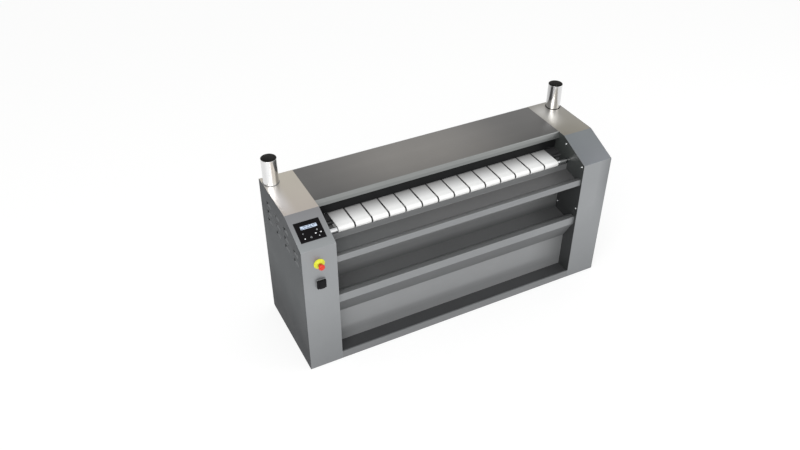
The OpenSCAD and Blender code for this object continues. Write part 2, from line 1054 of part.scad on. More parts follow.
module cylinder_sprocket() {
    rim_r = cyl_pulley_r + drive_belt_t + pulley_rim_h;
    hub_l = sprocket_x + sprocket_t - pulley_x;
    color("slategray")
        placed()
            translate([0, cyl_y, cyl_z])
                rotate([90, 0, 90])
                    difference() {
                        union() {
                            translate([0, 0, pulley_x]) {
                                cylinder(h = pulley_w, r = cyl_pulley_r);
                                cylinder(h = pulley_rim, r = rim_r);
                                translate([0, 0, pulley_w - pulley_rim])
                                    cylinder(h = pulley_rim, r = rim_r);
                                cylinder(h = hub_l, r = cyl_hub_r);
                            }
                            translate([0, 0, sprocket_x])
                                linear_extrude(sprocket_t)
                                    toothed_2d(cyl_teeth, cyl_pitch_r);
                        }
                        translate([0, 0, pulley_x - over])
                            cylinder(h = hub_l + 2 * over, r = journal_r + run);
                    }
}

// A chain wheel: a disc with a round seat for each chain roller
module toothed_2d(teeth, pitch_r) {
    difference() {
        circle(pitch_r + tooth_h);
        for (i = [0 : teeth - 1])
            rotate(i * 360 / teeth)
                translate([pitch_r, 0])
                    circle(chain_roller_r + gap, $fn = 24);
    }
}

// A hollow roller with a through shaft, vented at its ends
module roller(at, r, shaft_r, shaft_out) {
    x = inner_x - roller_end_gap;
    difference() {
        bar_x(at, r, -x, x);
        bar_x(at, r - roller_tube, -x + roller_tube, x - roller_tube);
        both_ends()
            bar_x(at + [0, (r - roller_tube + shaft_r) / 2], vent_r, x - roller_tube - over, x + over);
    }
    bar_x(at, shaft_r, -hub_x - roller_bearing_w, hub_x + roller_bearing_w + shaft_out);
}

module press_roller(at) {
    color("lightsteelblue")
        placed()
            roller(at, press_r, press_shaft_r, 0);
}

module feed_roller_front() {
    at = [feed_front_y, feed_axis_z];
    x = pulley_x + pulley_w - hub_x - roller_bearing_w;
    color("lightsteelblue")
        placed() {
            roller(at, feed_r, feed_shaft_r, x);
            bar_x(at, feed_pulley_r, pulley_x, pulley_x + pulley_w);
            for (x0 = [pulley_x, pulley_x + pulley_w - pulley_rim])
                bar_x(at, feed_pulley_r + drive_belt_t + pulley_rim_h, x0, x0 + pulley_rim);
        }
}

module feed_roller_rear() {
    color("lightsteelblue")
        placed()
            roller([feed_rear_y, feed_axis_z], feed_r, feed_shaft_r, 0);
}

// Heating rods through the journals, held by a carrier at each end
module heating_elements() {
    at = [cyl_y, cyl_z];
    foot_z = cyl_z + cyl_pulley_r + drive_belt_t + pulley_rim_h + 2 * rod_heat_out;
    rod_end = carrier_x + carrier_t + rod_heat_out;
    color("peru")
        placed() {
            for (i = [0 : heat_count - 1])
                bar_x(round_at(at, heat_ring_r, i * 360 / heat_count), rod_heat_r, -rod_end, rod_end);
            both_ends()
                difference() {
                    union() {
                        bar_x(at, journal_r, carrier_x, carrier_x + carrier_t);
                        translate([carrier_x, cyl_y - heat_ring_r / 2, cyl_z])
                            cube([carrier_t, heat_ring_r, foot_z - cyl_z]);
                        translate([hub_x, cyl_y - heat_ring_r / 2, foot_z - carrier_t])
                            cube([carrier_x + carrier_t - hub_x, heat_ring_r, carrier_t]);
                    }
                    for (i = [0 : heat_count - 1])
                        bar_x(round_at(at, heat_ring_r, i * 360 / heat_count), rod_heat_r + run,
                            carrier_x - over, carrier_x + carrier_t + over);
                }
        }
}

// Drive in the right cabinet

module gear_motor() {
    motor_x = hub_x + motor_r + fin_h + motor_gap;
    color("steelblue")
        placed()
            difference() {
                union() {
                    translate([
                        hub_x, motor_y - gearbox_s / 2 - motor_foot_edge, motor_z - gearbox_down
                    ])
                        cube([
                            motor_foot_t, gearbox_s + 2 * motor_foot_edge,
                            gearbox_up + gearbox_down + motor_foot_edge
                        ]);
                    translate([hub_x + motor_foot_t, motor_y - gearbox_s / 2, motor_z - gearbox_down])
                        cube([gearbox_w, gearbox_s, gearbox_up + gearbox_down]);
                    translate([motor_x, motor_y, motor_z - gearbox_down - motor_l]) {
                        cylinder(h = motor_l, r = motor_r);
                        for (z = [fin_end : fin_pitch : motor_l - fin_end])
                            translate([0, 0, z])
                                cylinder(h = fin_t, r = motor_r + fin_h);
                    }
                }
                bar_x([motor_y, motor_z], motor_shaft_r + run, hub_x + motor_foot_t + motor_gap,
                    hub_x + motor_foot_t + gearbox_w + over);
            }
}

module motor_sprocket() {
    at = [motor_y, motor_z];
    color("slategray")
        placed() {
            bar_x(at, motor_shaft_r, hub_x + motor_foot_t + motor_shaft_in, sprocket_x + sprocket_t);
            translate([sprocket_x, motor_y, motor_z])
                rotate([90, 0, 90])
                    linear_extrude(sprocket_t)
                        toothed_2d(motor_teeth, motor_pitch_r);
        }
}

// The chain's rollers lie in the seats of both chain wheels
chain_mid_x = sprocket_x + sprocket_t / 2;

module drive_chain() {
    a = [cyl_y, cyl_z];
    b = [motor_y, motor_z];
    lean = atan2(b[1] - a[1], b[0] - a[0]);
    open = acos((cyl_pitch_r - motor_pitch_r) / norm(b - a));
    side_x = sprocket_t / 2 + gap;
    color("dimgray")
        placed() {
            for (x = [chain_mid_x + side_x, chain_mid_x - side_x - chain_plate_t])
                along_x(x, x + chain_plate_t)
                    strap_2d(a, cyl_pitch_r - chain_plate_h, b, motor_pitch_r - chain_plate_h,
                        2 * chain_plate_h);
            for (side = [lean + open, lean - open]) {
                p = round_at(a, cyl_pitch_r, side);
                q = round_at(b, motor_pitch_r, side);
                s0 = clear_run(cyl_pitch_r);
                n = floor((norm(q - p) - s0 - clear_run(motor_pitch_r)) / chain_pitch);
                for (i = [0 : n])
                    chain_roller(p + (q - p) / norm(q - p) * (s0 + i * chain_pitch));
            }
        }
}

// A point at an angle and distance from c
function round_at(c, r, a) = c + r * [cos(a), sin(a)];

// Distance along a straight run at which a chain roller is clear of the teeth
function clear_run(r) = sqrt(pow(r + tooth_h + chain_roller_r + 2 * gap, 2) - r * r);

module chain_roller(at) {
    side_x = sprocket_t / 2 + gap + chain_plate_t;
    bar_x(at, chain_roller_r, chain_mid_x - side_x, chain_mid_x + side_x);
}

module feed_drive_belt() {
    color([0.1, 0.1, 0.1])
        placed()
            along_x(pulley_x + pulley_rim + gap, pulley_x + pulley_w - pulley_rim - gap)
                strap_2d([cyl_y, cyl_z], cyl_pulley_r + gap, [feed_front_y, feed_axis_z],
                    feed_pulley_r + gap, drive_belt_t);
}

// Fans and chimneys

module fan_housing() {
    x0 = pipe_x - fan_w / 2;
    x1 = pipe_x + fan_w / 2;
    w = fan_duct_w;
    difference() {
        union() {
            bar_x([fan_y, fan_z], fan_r, x0, x1);
            translate([x0, pipe_y - w / 2, fan_z])
                cube([fan_w, w, fan_flange_z - fan_flange_t - fan_z]);
            translate([pipe_x - w / 2, pipe_y - w / 2, fan_flange_z - fan_flange_t])
                cube([w, w, fan_flange_t]);
            translate([pipe_x, pipe_y, fan_flange_z - fan_flange_t])
                cylinder(h = fan_collar_h + fan_flange_t, r = neck_pipe_r + gap + pipe_wall);
            translate([hub_x, pipe_y - fan_bracket_w / 2, fan_flange_z - fan_flange_t])
                cube([pipe_x - w / 2 + over - hub_x, fan_bracket_w, fan_flange_t]);
            translate([hub_x, pipe_y - fan_bracket_w / 2, fan_flange_z - fan_bracket_h])
                cube([fan_flange_t, fan_bracket_w, fan_bracket_h]);
        }
        bar_x([fan_y, fan_z], fan_r - fan_wall, x0 + fan_wall, x1 - fan_wall);
        translate([x0 + fan_wall, pipe_y - w / 2 + fan_wall, fan_z])
            cube([fan_w - 2 * fan_wall, w - 2 * fan_wall, fan_flange_z - fan_flange_t - fan_z]);
        intersection() {
            translate([pipe_x, pipe_y, fan_z])
                cylinder(h = fan_flange_z - fan_z + over, r = neck_pipe_r - pipe_wall - duct_ledge);
            translate([x0 + fan_wall, pipe_y - w / 2 + fan_wall, fan_z])
                cube([fan_w - 2 * fan_wall, w - 2 * fan_wall, fan_flange_z - fan_z + over]);
        }
        translate([pipe_x, pipe_y, fan_flange_z])
            cylinder(h = fan_collar_h + over, r = neck_pipe_r + gap);
        bar_x([fan_y, fan_z], fan_inlet_r, x0 - over, x0 + fan_wall + over);
    }
    bar_x([fan_y, fan_z], stator_r, x1 - fan_wall - stator_l, x1 - fan_wall);
    bar_x([fan_y, fan_z], fan_shaft_r, x1 - fan_wall - rotor_l - rotor_wall, x1 - fan_wall);
}

module fan_housings() {
    color("lightgray")
        placed()
            both_ends()
                fan_housing();
}

module fan_impeller() {
    x1 = pipe_x + fan_w / 2 - fan_wall;
    at = [fan_y, fan_z];
    placed()
        difference() {
            union() {
                bar_x(at, rotor_r, x1 - rotor_l - rotor_wall - gap, x1 - fan_gap);
                bar_x(at, impeller_r, x1 - fan_gap - blade_t, x1 - fan_gap);
                for (i = [0 : blade_count - 1])
                    translate([x1 - fan_gap - impeller_w, fan_y, fan_z])
                        rotate([i * 360 / blade_count, 0, 0])
                            translate([0, -blade_t / 2, impeller_r - blade_h])
                                cube([impeller_w, blade_t, blade_h - blade_t]);
                difference() {
                    bar_x(at, impeller_r, x1 - fan_gap - impeller_w - blade_t, x1 - fan_gap - impeller_w);
                    bar_x(at, impeller_r - blade_h, x1 - fan_gap - impeller_w - blade_t - over, x1);
                }
            }
            bar_x(at, rotor_r - rotor_wall, x1 - rotor_l, x1);
            bar_x(at, fan_shaft_r + run, x1 - rotor_l - rotor_wall - gap - over, x1);
        }
}

module fan_impeller_left() {
    color("darkgray")
        mirror([1, 0, 0])
            fan_impeller();
}

module fan_impeller_right() {
    color("darkgray")
        fan_impeller();
}

// Each pipe has a narrower neck that stands in the fan's collar, and a shoulder on the rubber ring
module chimneys() {
    shoulder = body_h + grommet_h - fan_flange_z;
    top = body_h + pipe_out - fan_flange_z;
    color("gainsboro")
        placed()
            both_ends()
                translate([pipe_x, pipe_y, fan_flange_z])
                    difference() {
                        union() {
                            cylinder(h = top, r = neck_pipe_r);
                            translate([0, 0, shoulder])
                                cylinder(h = top - shoulder, r = pipe_r);
                        }
                        translate([0, 0, -over])
                            cylinder(h = top + 2 * over, r = neck_pipe_r - pipe_wall);
                        translate([0, 0, shoulder + pipe_wall])
                            cylinder(h = top, r = pipe_r - pipe_wall);
                    }
}

module chimney_grommets() {
    color("black")
        placed()
            both_ends()
                translate([pipe_x, pipe_y, body_h])
                    difference() {
                        union() {
                            cylinder(h = grommet_h, r = pipe_r + grommet_w + grommet_lip);
                            translate([0, 0, -sheet_t - grommet_h])
                                cylinder(h = sheet_t + grommet_h + grommet_h, r = pipe_r + grommet_w - run);
                            translate([0, 0, -sheet_t - grommet_h])
                                cylinder(h = grommet_h, r = pipe_r + grommet_w + grommet_lip);
                        }
                        translate([0, 0, -sheet_t - grommet_h - over])
                            cylinder(h = sheet_t + 2 * grommet_h + 2 * over, r = neck_pipe_r + run);
                    }
}

// Electrics

board_x = -hub_x - board_off;

module electrical_plate() {
    color("gainsboro")
        placed() {
            translate([board_x - board_t, board_y[0], board_z[0]])
                cube([board_t, board_y[1] - board_y[0], board_z[1] - board_z[0]]);
            for (y = [board_y[0] + spacer_edge, board_y[1] - spacer_edge],
                 z = [board_z[0] + spacer_edge, board_z[1] - spacer_edge])
                bar_x([y, z], spacer_r, board_x, -hub_x);
            for (y = [contactor_y, terminal_y])
                translate([board_x - board_t - rail_t, y - spacer_edge, contactor_z - rail_h / 2])
                    cube([rail_t, (y == contactor_y ? contactor_count * contactor_step
                        : terminal_count * terminal_step) + spacer_edge, rail_h]);
        }
}

module on_board(y, z, off, size) {
    translate([board_x - board_t - off - size[0], y, z])
        cube(size);
}

module switchgear() {
    color([0.2, 0.2, 0.22])
        placed() {
            for (i = [0 : contactor_count - 1])
                on_board(contactor_y + i * contactor_step, contactor_z - contactor[2] / 2, rail_t,
                    contactor);
            for (i = [0 : terminal_count - 1])
                on_board(terminal_y + i * terminal_step, contactor_z - terminal[2] / 2, rail_t,
                    terminal);
            on_board(drive_y, drive_z, 0, drive_box);
            on_board(trafo_y, trafo_z, 0, trafo_box);
        }
}

module switch_blocks() {
    color([0.15, 0.15, 0.16])
        placed()
            difference() {
                union() {
                    translate([stop_x - block_s / 2, barrel_l + block_gap, stop_z - block_s / 2])
                        cube([block_s, block_l, block_s]);
                    translate([stop_x - block_s / 2, sheet_t, stop_z - block_s / 2])
                        cube([sheet_t, barrel_l + block_gap, block_s]);
                    translate([switch_x - block_s / 2, 0, switch_z - block_s / 2])
                        cube([block_s, block_l, block_s]);
                }
                bar_y_axis(switch_x, switch_z, knob_shaft_r + run, -over, block_l / 2 + over);
            }
}

// Controls

module control_panel() {
    color([0.08, 0.08, 0.1])
        on_slope(panel_x, panel_v)
            difference() {
                union() {
                    translate([-panel_w / 2, -panel_l / 2, 0])
                        cube([panel_w, panel_l, panel_t]);
                    translate([
                        -panel_w / 2 + panel_box_edge, -panel_l / 2 + panel_box_edge, -panel_box_t
                    ])
                        cube([
                            panel_w - 2 * panel_box_edge, panel_l - 2 * panel_box_edge,
                            panel_box_t + panel_t
                        ]);
                }
                translate([window_x, window_v, panel_t])
                    cube([window_size[0] + 2 * run, window_size[1] + 2 * run, 2 * window_t], center = true);
                for (at = key_at)
                    translate([at[0], at[1], panel_t - pocket_d])
                        cylinder(h = pocket_d + over, r = key_r + gap / 2);
            }
}

module display_window() {
    color([0.8, 0.86, 0.95])
        on_slope(panel_x, panel_v)
            translate([window_x, window_v, panel_t - window_t / 2])
                cube([window_size[0], window_size[1], window_t], center = true);
}

key_at = [
    [-key_side, key_high], [-key_side, key_low], [key_menu_x, key_low],
    [arrow_x - arrow_dx, arrow_v], [arrow_x + arrow_dx, arrow_v],
    [arrow_x, arrow_v + arrow_dv], [arrow_x, arrow_v - arrow_dv]
];

module key(i) {
    color([0.85, 0.86, 0.88])
        on_slope(panel_x, panel_v)
            translate([key_at[i][0], key_at[i][1], panel_t + key_sink - key_h])
                cylinder(h = key_h, r = key_r);
}

module estop_collar() {
    color("gold")
        placed()
            translate([stop_x, 0, stop_z])
                rotate([-90, 0, 0])
                    difference() {
                        union() {
                            rotate_extrude()
                                polygon([
                                    [0, 0], [0, -neck_out], [neck_r, -neck_out],
                                    [neck_r + neck_out - collar_t, -collar_t], [collar_r, -collar_t],
                                    [collar_r, 0]
                                ]);
                            cylinder(h = barrel_l, r = barrel_r);
                        }
                        translate([0, 0, -neck_out - over])
                            cylinder(h = neck_out + barrel_l + 2 * over, r = stem_r + run);
                    }
}

module estop_stem() {
    color("silver")
        placed() {
            bar_y_axis(stop_x, stop_z, stem_r, -stop_out + stop_rim, barrel_l + gap);
            bar_y_axis(stop_x, stop_z, stem_head_r, barrel_l + gap, barrel_l + gap + sheet_t);
        }
}

module estop_button() {
    color("red")
        placed()
            translate([stop_x, -stop_out, stop_z])
                rotate([-90, 0, 0])
                    difference() {
                        rotate_extrude()
                            polygon([
                                [0, 0], [stop_r - stop_rim, 0], [stop_r - stop_rim / 4, stop_rim / 2],
                                [stop_r, stop_rim], [stop_r, stop_rim + stop_rim / 2],
                                [stop_r - stop_rim, stop_head_l - stop_rim],
                                [stop_r - stop_rim, stop_head_l], [0, stop_head_l]
                            ]);
                        translate([0, 0, stop_rim])
                            cylinder(h = stop_head_l, r = stem_r + run);
                    }
}

module switch_plate() {
    color([0.66, 0.67, 0.68])
        placed()
            translate([switch_x, -switch_t / 2, switch_z])
                difference() {
                    cube([switch_s, switch_t, switch_s], center = true);
                    rotate([90, 0, 0])
                        cylinder(h = switch_t + 2 * over, r = knob_shaft_r + run, center = true);
                }
}

module switch_knob() {
    color([0.1, 0.1, 0.11])
        placed() {
            translate([switch_x - knob_s / 2, -switch_t - gap - knob_t, switch_z - knob_s / 2])
                cube([knob_s, knob_t, knob_s]);
            translate([switch_x - grip_w / 2, -switch_t - gap - knob_t - grip_t, switch_z - knob_s / 2])
                cube([grip_w, grip_t + over, knob_s]);
            bar_y_axis(switch_x, switch_z, knob_shaft_r, -switch_t - gap - over, block_l / 2);
        }
}

module cable_gland() {
    color("black")
        placed()
            difference() {
                union() {
                    bar_y_axis(gland_x, gland_z, gland_r, body_d - sheet_t - gland_in, body_d + gland_out);
                    bar_y_axis(gland_x, gland_z, gland_nut_r, body_d, body_d + gland_nut_t);
                    bar_y_axis(gland_x, gland_z, gland_nut_r, body_d - sheet_t - gland_nut_t,
                        body_d - sheet_t);
                }
                bar_y_axis(gland_x, gland_z, gland_bore_r, body_d - sheet_t - gland_in - over,
                    body_d + gland_out + over);
            }
}

module casing_screws() {
    color("silver")
        placed() {
            both_ends()
                for (at = screw_at) {
                    bar_x(at, screw_head_r, inner_x - screw_head_h, inner_x);
                    bar_x(at, screw_r, inner_x - over, inner_x - screw_head_h + screw_l);
                }
            each_back_screw() {
                bar_y_axis(0, 0, back_head_r, body_d, body_d + back_head_h);
                bar_y_axis(0, 0, back_screw_r, body_d - back_screw_l, body_d + over);
            }
        }
}

module temperature_probes() {
    color("silver")
        placed()
            for (x = probe_x) {
                bar_y_axis(x, cyl_z, probe_r, shield_y - probe_nut_t, cyl_y - cyl_r - probe_gap);
                bar_y_axis(x, cyl_z, probe_nut_r, shield_y - probe_nut_t, shield_y);
            }
}

module finger_guard() {
    at = [guard_y, guard_z];
    x = inner_x - guard_end;
    bottom = table_z + guard_bottom_rise;
    color([0.1, 0.1, 0.11])
        placed() {
            bar_x(at, guard_tube_r, -x, x);
            bar_x(at, guard_pin_r, -hub_x - guard_pin_out, hub_x + guard_pin_out);
            translate([-x, guard_y - guard_t / 2, bottom + guard_bead_r])
                cube([2 * x, guard_t, guard_z - bottom - guard_bead_r]);
            bar_x([guard_y, bottom + guard_bead_r], guard_bead_r, -x, x);
        }
}

base_frame();
feet();
skirting();
left_inner_plate();
right_inner_plate();
left_shell();
right_shell();
left_side_panel();
right_side_panel();
rear_panels();
top_cover();
lower_front_panel();
receiving_tray();
feed_tray();
belt_support();
feed_belts();
ironing_belts();
heat_shield();
stripper_fingers();
cylinder_bearings();
roller_bearings();
heating_elements();
gear_motor();
drive_chain();
feed_drive_belt();
fan_housings();
chimneys();
chimney_grommets();
electrical_plate();
switchgear();
control_panel();
display_window();
estop_collar();
switch_plate();
switch_blocks();
cable_gland();
casing_screws();
temperature_probes();
cylinder_node();  // cylinder
cylinder_sprocket();
press_roller(entry_at);  // entry_roller
press_roller(exit_at);  // exit_roller
press_roller(rear_top_at);  // rear_top_roller
press_roller(rear_low_at);  // rear_bottom_roller
feed_roller_front();
feed_roller_rear();
motor_sprocket();
fan_impeller_left();
fan_impeller_right();
finger_guard();
estop_stem();
estop_button();
switch_knob();
key(0);  // key_start
key(1);  // key_stop
key(2);  // key_menu
key(3);  // key_left
key(4);  // key_right
key(5);  // key_up
key(6);  // key_down
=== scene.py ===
from math import atan2, cos, pi, radians, sin

import bmesh
import bpy
from mathutils import Matrix, Quaternion, Vector

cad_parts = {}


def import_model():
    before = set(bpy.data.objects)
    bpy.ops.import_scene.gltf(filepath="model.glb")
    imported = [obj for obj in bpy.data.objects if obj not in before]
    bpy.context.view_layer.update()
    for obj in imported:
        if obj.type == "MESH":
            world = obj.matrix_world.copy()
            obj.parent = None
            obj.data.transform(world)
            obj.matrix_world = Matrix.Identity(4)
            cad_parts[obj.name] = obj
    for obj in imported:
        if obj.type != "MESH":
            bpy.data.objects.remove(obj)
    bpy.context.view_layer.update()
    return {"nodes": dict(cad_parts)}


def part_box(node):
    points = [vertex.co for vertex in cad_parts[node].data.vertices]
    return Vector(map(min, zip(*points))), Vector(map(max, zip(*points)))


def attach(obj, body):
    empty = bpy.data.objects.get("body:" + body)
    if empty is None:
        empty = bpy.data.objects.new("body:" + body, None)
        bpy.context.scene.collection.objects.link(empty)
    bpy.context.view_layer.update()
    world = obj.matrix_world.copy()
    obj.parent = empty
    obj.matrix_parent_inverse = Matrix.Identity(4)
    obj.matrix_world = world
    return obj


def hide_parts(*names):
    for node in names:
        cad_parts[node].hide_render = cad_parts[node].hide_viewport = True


MM = 0.001
X, Y, Z = range(3)


def in_scene(o):
    bpy.context.scene.collection.objects.link(o)
    return o


def looking(direction):
    """The turn of a camera or lamp that looks along a direction, upright."""
    return direction.to_track_quat("-Z", "Y")


# Camera: the photograph's viewpoint
CAMERA_AT = (-2.0176, -3.4133, 3.5302)
AZIMUTH, ELEVATION, ROLL = radians(-27.055), radians(37.426), radians(0.088)

cam_data = bpy.data.cameras.new("camera")
cam_data.sensor_width = 36
cam_data.lens = 36.79
camera = in_scene(bpy.data.objects.new("camera", cam_data))
camera.location = CAMERA_AT
forward = Vector((-sin(AZIMUTH) * cos(ELEVATION), cos(AZIMUTH) * cos(ELEVATION), -sin(ELEVATION)))
camera.rotation_mode = "QUATERNION"
camera.rotation_quaternion = looking(forward) @ Quaternion((0, 0, 1), ROLL)
bpy.context.scene.camera = camera

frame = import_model()
NODES = frame["nodes"]


def middle(box, axis):
    return (box[0][axis] + box[1][axis]) / 2


# The cabinet's front plane, the height where its slope starts, and the slope's angle
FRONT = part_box("left_shell")[0][Y]
FRONT_H = 0.865
SLOPE = atan2(93, 221)

# The chimneys stand at plus and minus PIPE_X
PIPE_X, PIPE_Y = 0.95, middle(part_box("chimneys"), Y)
PIPE_R = 44.45 * MM


# Helpers for node trees

MIX_INPUTS = (0, 6, 7)
MIX_RESULT = 2


def add(tree, kind, **settings):
    node = tree.nodes.new(kind)
    for key, value in settings.items():
        setattr(node, key, value)
    return node


def feed(tree, socket, value):
    """Link an output to the socket, or set its value. A colour may leave out its alpha."""
    if isinstance(value, bpy.types.NodeSocket):
        tree.links.new(value, socket)
    elif socket.type == "RGBA" and len(value) == 3:
        socket.default_value = (*value, 1)
    else:
        socket.default_value = value


def mix(tree, factor, a, b, mode="MIX"):
    node = add(tree, "ShaderNodeMix", data_type="RGBA", blend_type=mode)
    for index, value in zip(MIX_INPUTS, (factor, a, b)):
        feed(tree, node.inputs[index], value)
    return node.outputs[MIX_RESULT]


class Shader:
    """One procedural material, built node by node."""

    def __init__(self, name):
        self.material = bpy.data.materials.new(name)
        self.material.use_nodes = True
        self.tree = self.material.node_tree
        self.tree.nodes.clear()
        out = self.add("ShaderNodeOutputMaterial")
        self.bsdf = self.add("ShaderNodeBsdfPrincipled")
        self.link(self.bsdf.outputs[0], out.inputs[0])
        self.coord = self.add("ShaderNodeTexCoord").outputs["Object"]

    def add(self, kind, **settings):
        return add(self.tree, kind, **settings)

    def link(self, source, target):
        self.tree.links.new(source, target)

    def set(self, name, value):
        feed(self.tree, self.bsdf.inputs[name], value)

    def math(self, operation, a, b=0.0):
        node = self.add("ShaderNodeMath", operation=operation)
        for socket, value in zip(node.inputs, (a, b)):
            feed(self.tree, socket, value)
        return node.outputs[0]

    def times(self, a, b):
        return self.math("MULTIPLY", a, b)

    def spread(self, value, low, high, to_low=0.0, to_high=1.0, smooth=False):
        """value mapped from low..high to to_low..to_high, and held level outside."""
        node = self.add("ShaderNodeMapRange", interpolation_type="SMOOTHSTEP" if smooth else "LINEAR")
        for socket, item in zip(node.inputs, (value, low, high, to_low, to_high)):
            feed(self.tree, socket, item)
        return node.outputs[0]

    def noise(self, scale, stretch=(1, 1, 1), detail=3.0, roughness=0.55):
        mapping = self.add("ShaderNodeMapping")
        mapping.inputs["Scale"].default_value = stretch
        self.link(self.coord, mapping.inputs["Vector"])
        node = self.add("ShaderNodeTexNoise")
        self.link(mapping.outputs[0], node.inputs["Vector"])
        node.inputs["Scale"].default_value = scale
        node.inputs["Detail"].default_value = detail
        node.inputs["Roughness"].default_value = roughness
        return node.outputs["Fac"]

    def wave(self, axis, scale):
        node = self.add("ShaderNodeTexWave", bands_direction=axis, wave_profile="SIN")
        self.link(self.coord, node.inputs["Vector"])
        node.inputs["Scale"].default_value = scale
        node.inputs["Distortion"].default_value = 0.0
        return node.outputs["Fac"]

    def part(self, source, axis):
        node = self.add("ShaderNodeSeparateXYZ")
        self.link(source, node.inputs[0])
        return node.outputs[axis]

    def at(self, axis):
        """The place along one axis."""
        return self.part(self.coord, axis)

    def aside(self, centre=0.0):
        """The distance along X from a plane that stands on both sides of the middle, mirrored."""
        off = self.math("ABSOLUTE", self.at(X))
        return self.math("ABSOLUTE", self.math("SUBTRACT", off, centre)) if centre else off

    def normal(self, axis):
        return self.part(self.add("ShaderNodeNewGeometry").outputs["True Normal"], axis)

    def blend(self, factor, a, b):
        return mix(self.tree, factor, a, b)

    def tinted(self, colour, tint):
        return mix(self.tree, 1.0, colour, tint, "MULTIPLY")

    def grey(self, value):
        node = self.add("ShaderNodeCombineColor")
        for socket in node.inputs[:3]:
            self.link(value, socket)
        return node.outputs[0]

    def bump(self, height, strength, distance):
        node = self.add("ShaderNodeBump")
        node.inputs["Strength"].default_value = strength
        node.inputs["Distance"].default_value = distance
        self.link(height, node.inputs["Height"])
        return node.outputs[0]

    def edge(self, radius):
        """1 along the outer edges, 0 on the flats."""
        rounded = self.add("ShaderNodeBevel", samples=4)
        rounded.inputs["Radius"].default_value = radius
        flat = self.add("ShaderNodeNewGeometry").outputs["Normal"]
        dot = self.add("ShaderNodeVectorMath", operation="DOT_PRODUCT")
        self.link(rounded.outputs[0], dot.inputs[0])
        self.link(flat, dot.inputs[1])
        return self.spread(self.math("SUBTRACT", 1.0, dot.outputs["Value"]), 0.02, 0.25)

    # Edges lighter: wear, and a painted highlight along the bends
    def worn_and_lit_edges(self, base, radius, amount, lighter):
        light = self.tinted(base, (lighter, lighter, lighter))
        return self.blend(self.times(self.edge(radius), amount), base, light)


# Kinds of surface. colour is one colour, or a function that grades it over the part.

def colour_of(s, colour):
    return colour(s) if callable(colour) else (*colour, 1)


def steel(name, colour, grain=(1, 60, 60), rough=(0.26, 0.38), metal=1.0, mottle=0.05, front_rough=0.0):
    """Brushed steel. Its grain runs along the axis that has the smallest number; fronts may be rougher."""
    s = Shader(name)
    fine = s.noise(14, grain, 4)
    broad = s.noise(3.2, detail=2)
    base = colour_of(s, colour)
    shade = s.spread(fine, 0.25, 0.75, 1 - mottle, 1 + mottle)
    cloud = s.spread(broad, 0.3, 0.7, 1 - mottle / 2, 1 + mottle / 2)
    base = s.tinted(base, s.grey(s.times(shade, cloud)))
    # Lighter edges: wear and a painted highlight
    s.set("Base Color", s.worn_and_lit_edges(base, 1.5 * MM, 0.25, 1.35))
    s.set("Metallic", metal)
    coarse = s.spread(fine, 0.25, 0.75, *rough)
    if front_rough:
        coarse = s.math("ADD", coarse, s.spread(s.normal(Y), -0.7, -0.95, 0.0, front_rough))
    s.set("Roughness", coarse)
    s.set("Normal", s.bump(fine, 0.06, 0.3 * MM))
    return s.material


def paint(name, colour, rough=0.42, peel=0.08, grain=260, coat=0.0, edge_wear_light=0.2, dust=0.06, specular=0.5):
    """Powder coat or enamel with an orange-peel surface, a little dust, and edges paler from wear and a
    painted highlight.
    """
    s = Shader(name)
    cells = s.noise(grain, detail=2)
    cloud = s.noise(5)
    base = colour_of(s, colour)
    base = s.tinted(base, s.grey(s.spread(cloud, 0.3, 0.7, 1 - dust, 1 + dust)))
    s.set("Base Color", s.worn_and_lit_edges(base, 1.2 * MM, edge_wear_light, 1.6))
    s.set("Roughness", s.spread(cloud, 0.3, 0.7, rough - 0.05, rough + 0.06))
    s.set("Specular IOR Level", specular)
    s.set("Coat Weight", coat)
    s.set("Coat Roughness", 0.15)
    s.set("Normal", s.bump(cells, peel, 0.4 * MM))
    return s.material


def plastic(name, colour, rough=0.4, fine=900, specular=0.5, coat=0.0):
    """Moulded plastic with a fine spark-eroded grain."""
    s = Shader(name)
    grain = s.noise(fine, detail=2)
    cloud = s.noise(30, detail=2)
    s.set("Base Color", s.tinted(colour_of(s, colour), s.grey(s.spread(cloud, 0.3, 0.7, 0.96, 1.04))))
    s.set("Roughness", s.spread(grain, 0.3, 0.7, rough - 0.05, rough + 0.05))
    s.set("Specular IOR Level", specular)
    s.set("Coat Weight", coat)
    s.set("Coat Roughness", 0.1)
    s.set("Normal", s.bump(grain, 0.05, 0.1 * MM))
    return s.material


def cloth(name, colour, pitch=1.6, dark=0.80, rough=0.9, stain=0.05):
    """Plain weave: two thread directions that pass over and under each other, pitch mm apart."""
    s = Shader(name)
    bands = 50 / pitch
    warp = s.wave("X", bands)
    weft = s.wave("Y", bands)
    weave = s.times(warp, weft)
    yarn = s.noise(700, detail=2)
    cloud = s.noise(9)
    height = s.math("ADD", weave, s.times(yarn, 0.3))
    plain = colour_of(s, colour)
    base = s.blend(s.spread(height, 0.1, 1.1), s.tinted(plain, (dark, dark, dark)), plain)
    s.set("Base Color", s.tinted(base, s.grey(s.spread(cloud, 0.3, 0.7, 1 - stain, 1.0))))
    s.set("Roughness", s.spread(yarn, 0.3, 0.7, rough - 0.06, rough + 0.06))
    s.set("Sheen Weight", 0.15)
    s.set("Specular IOR Level", 0.2)
    s.set("Normal", s.bump(height, 0.35, 0.25 * MM))
    return s.material


def assign(material, *names):
    for name in names:
        materials = NODES[name].data.materials
        materials.clear()
        materials.append(material)
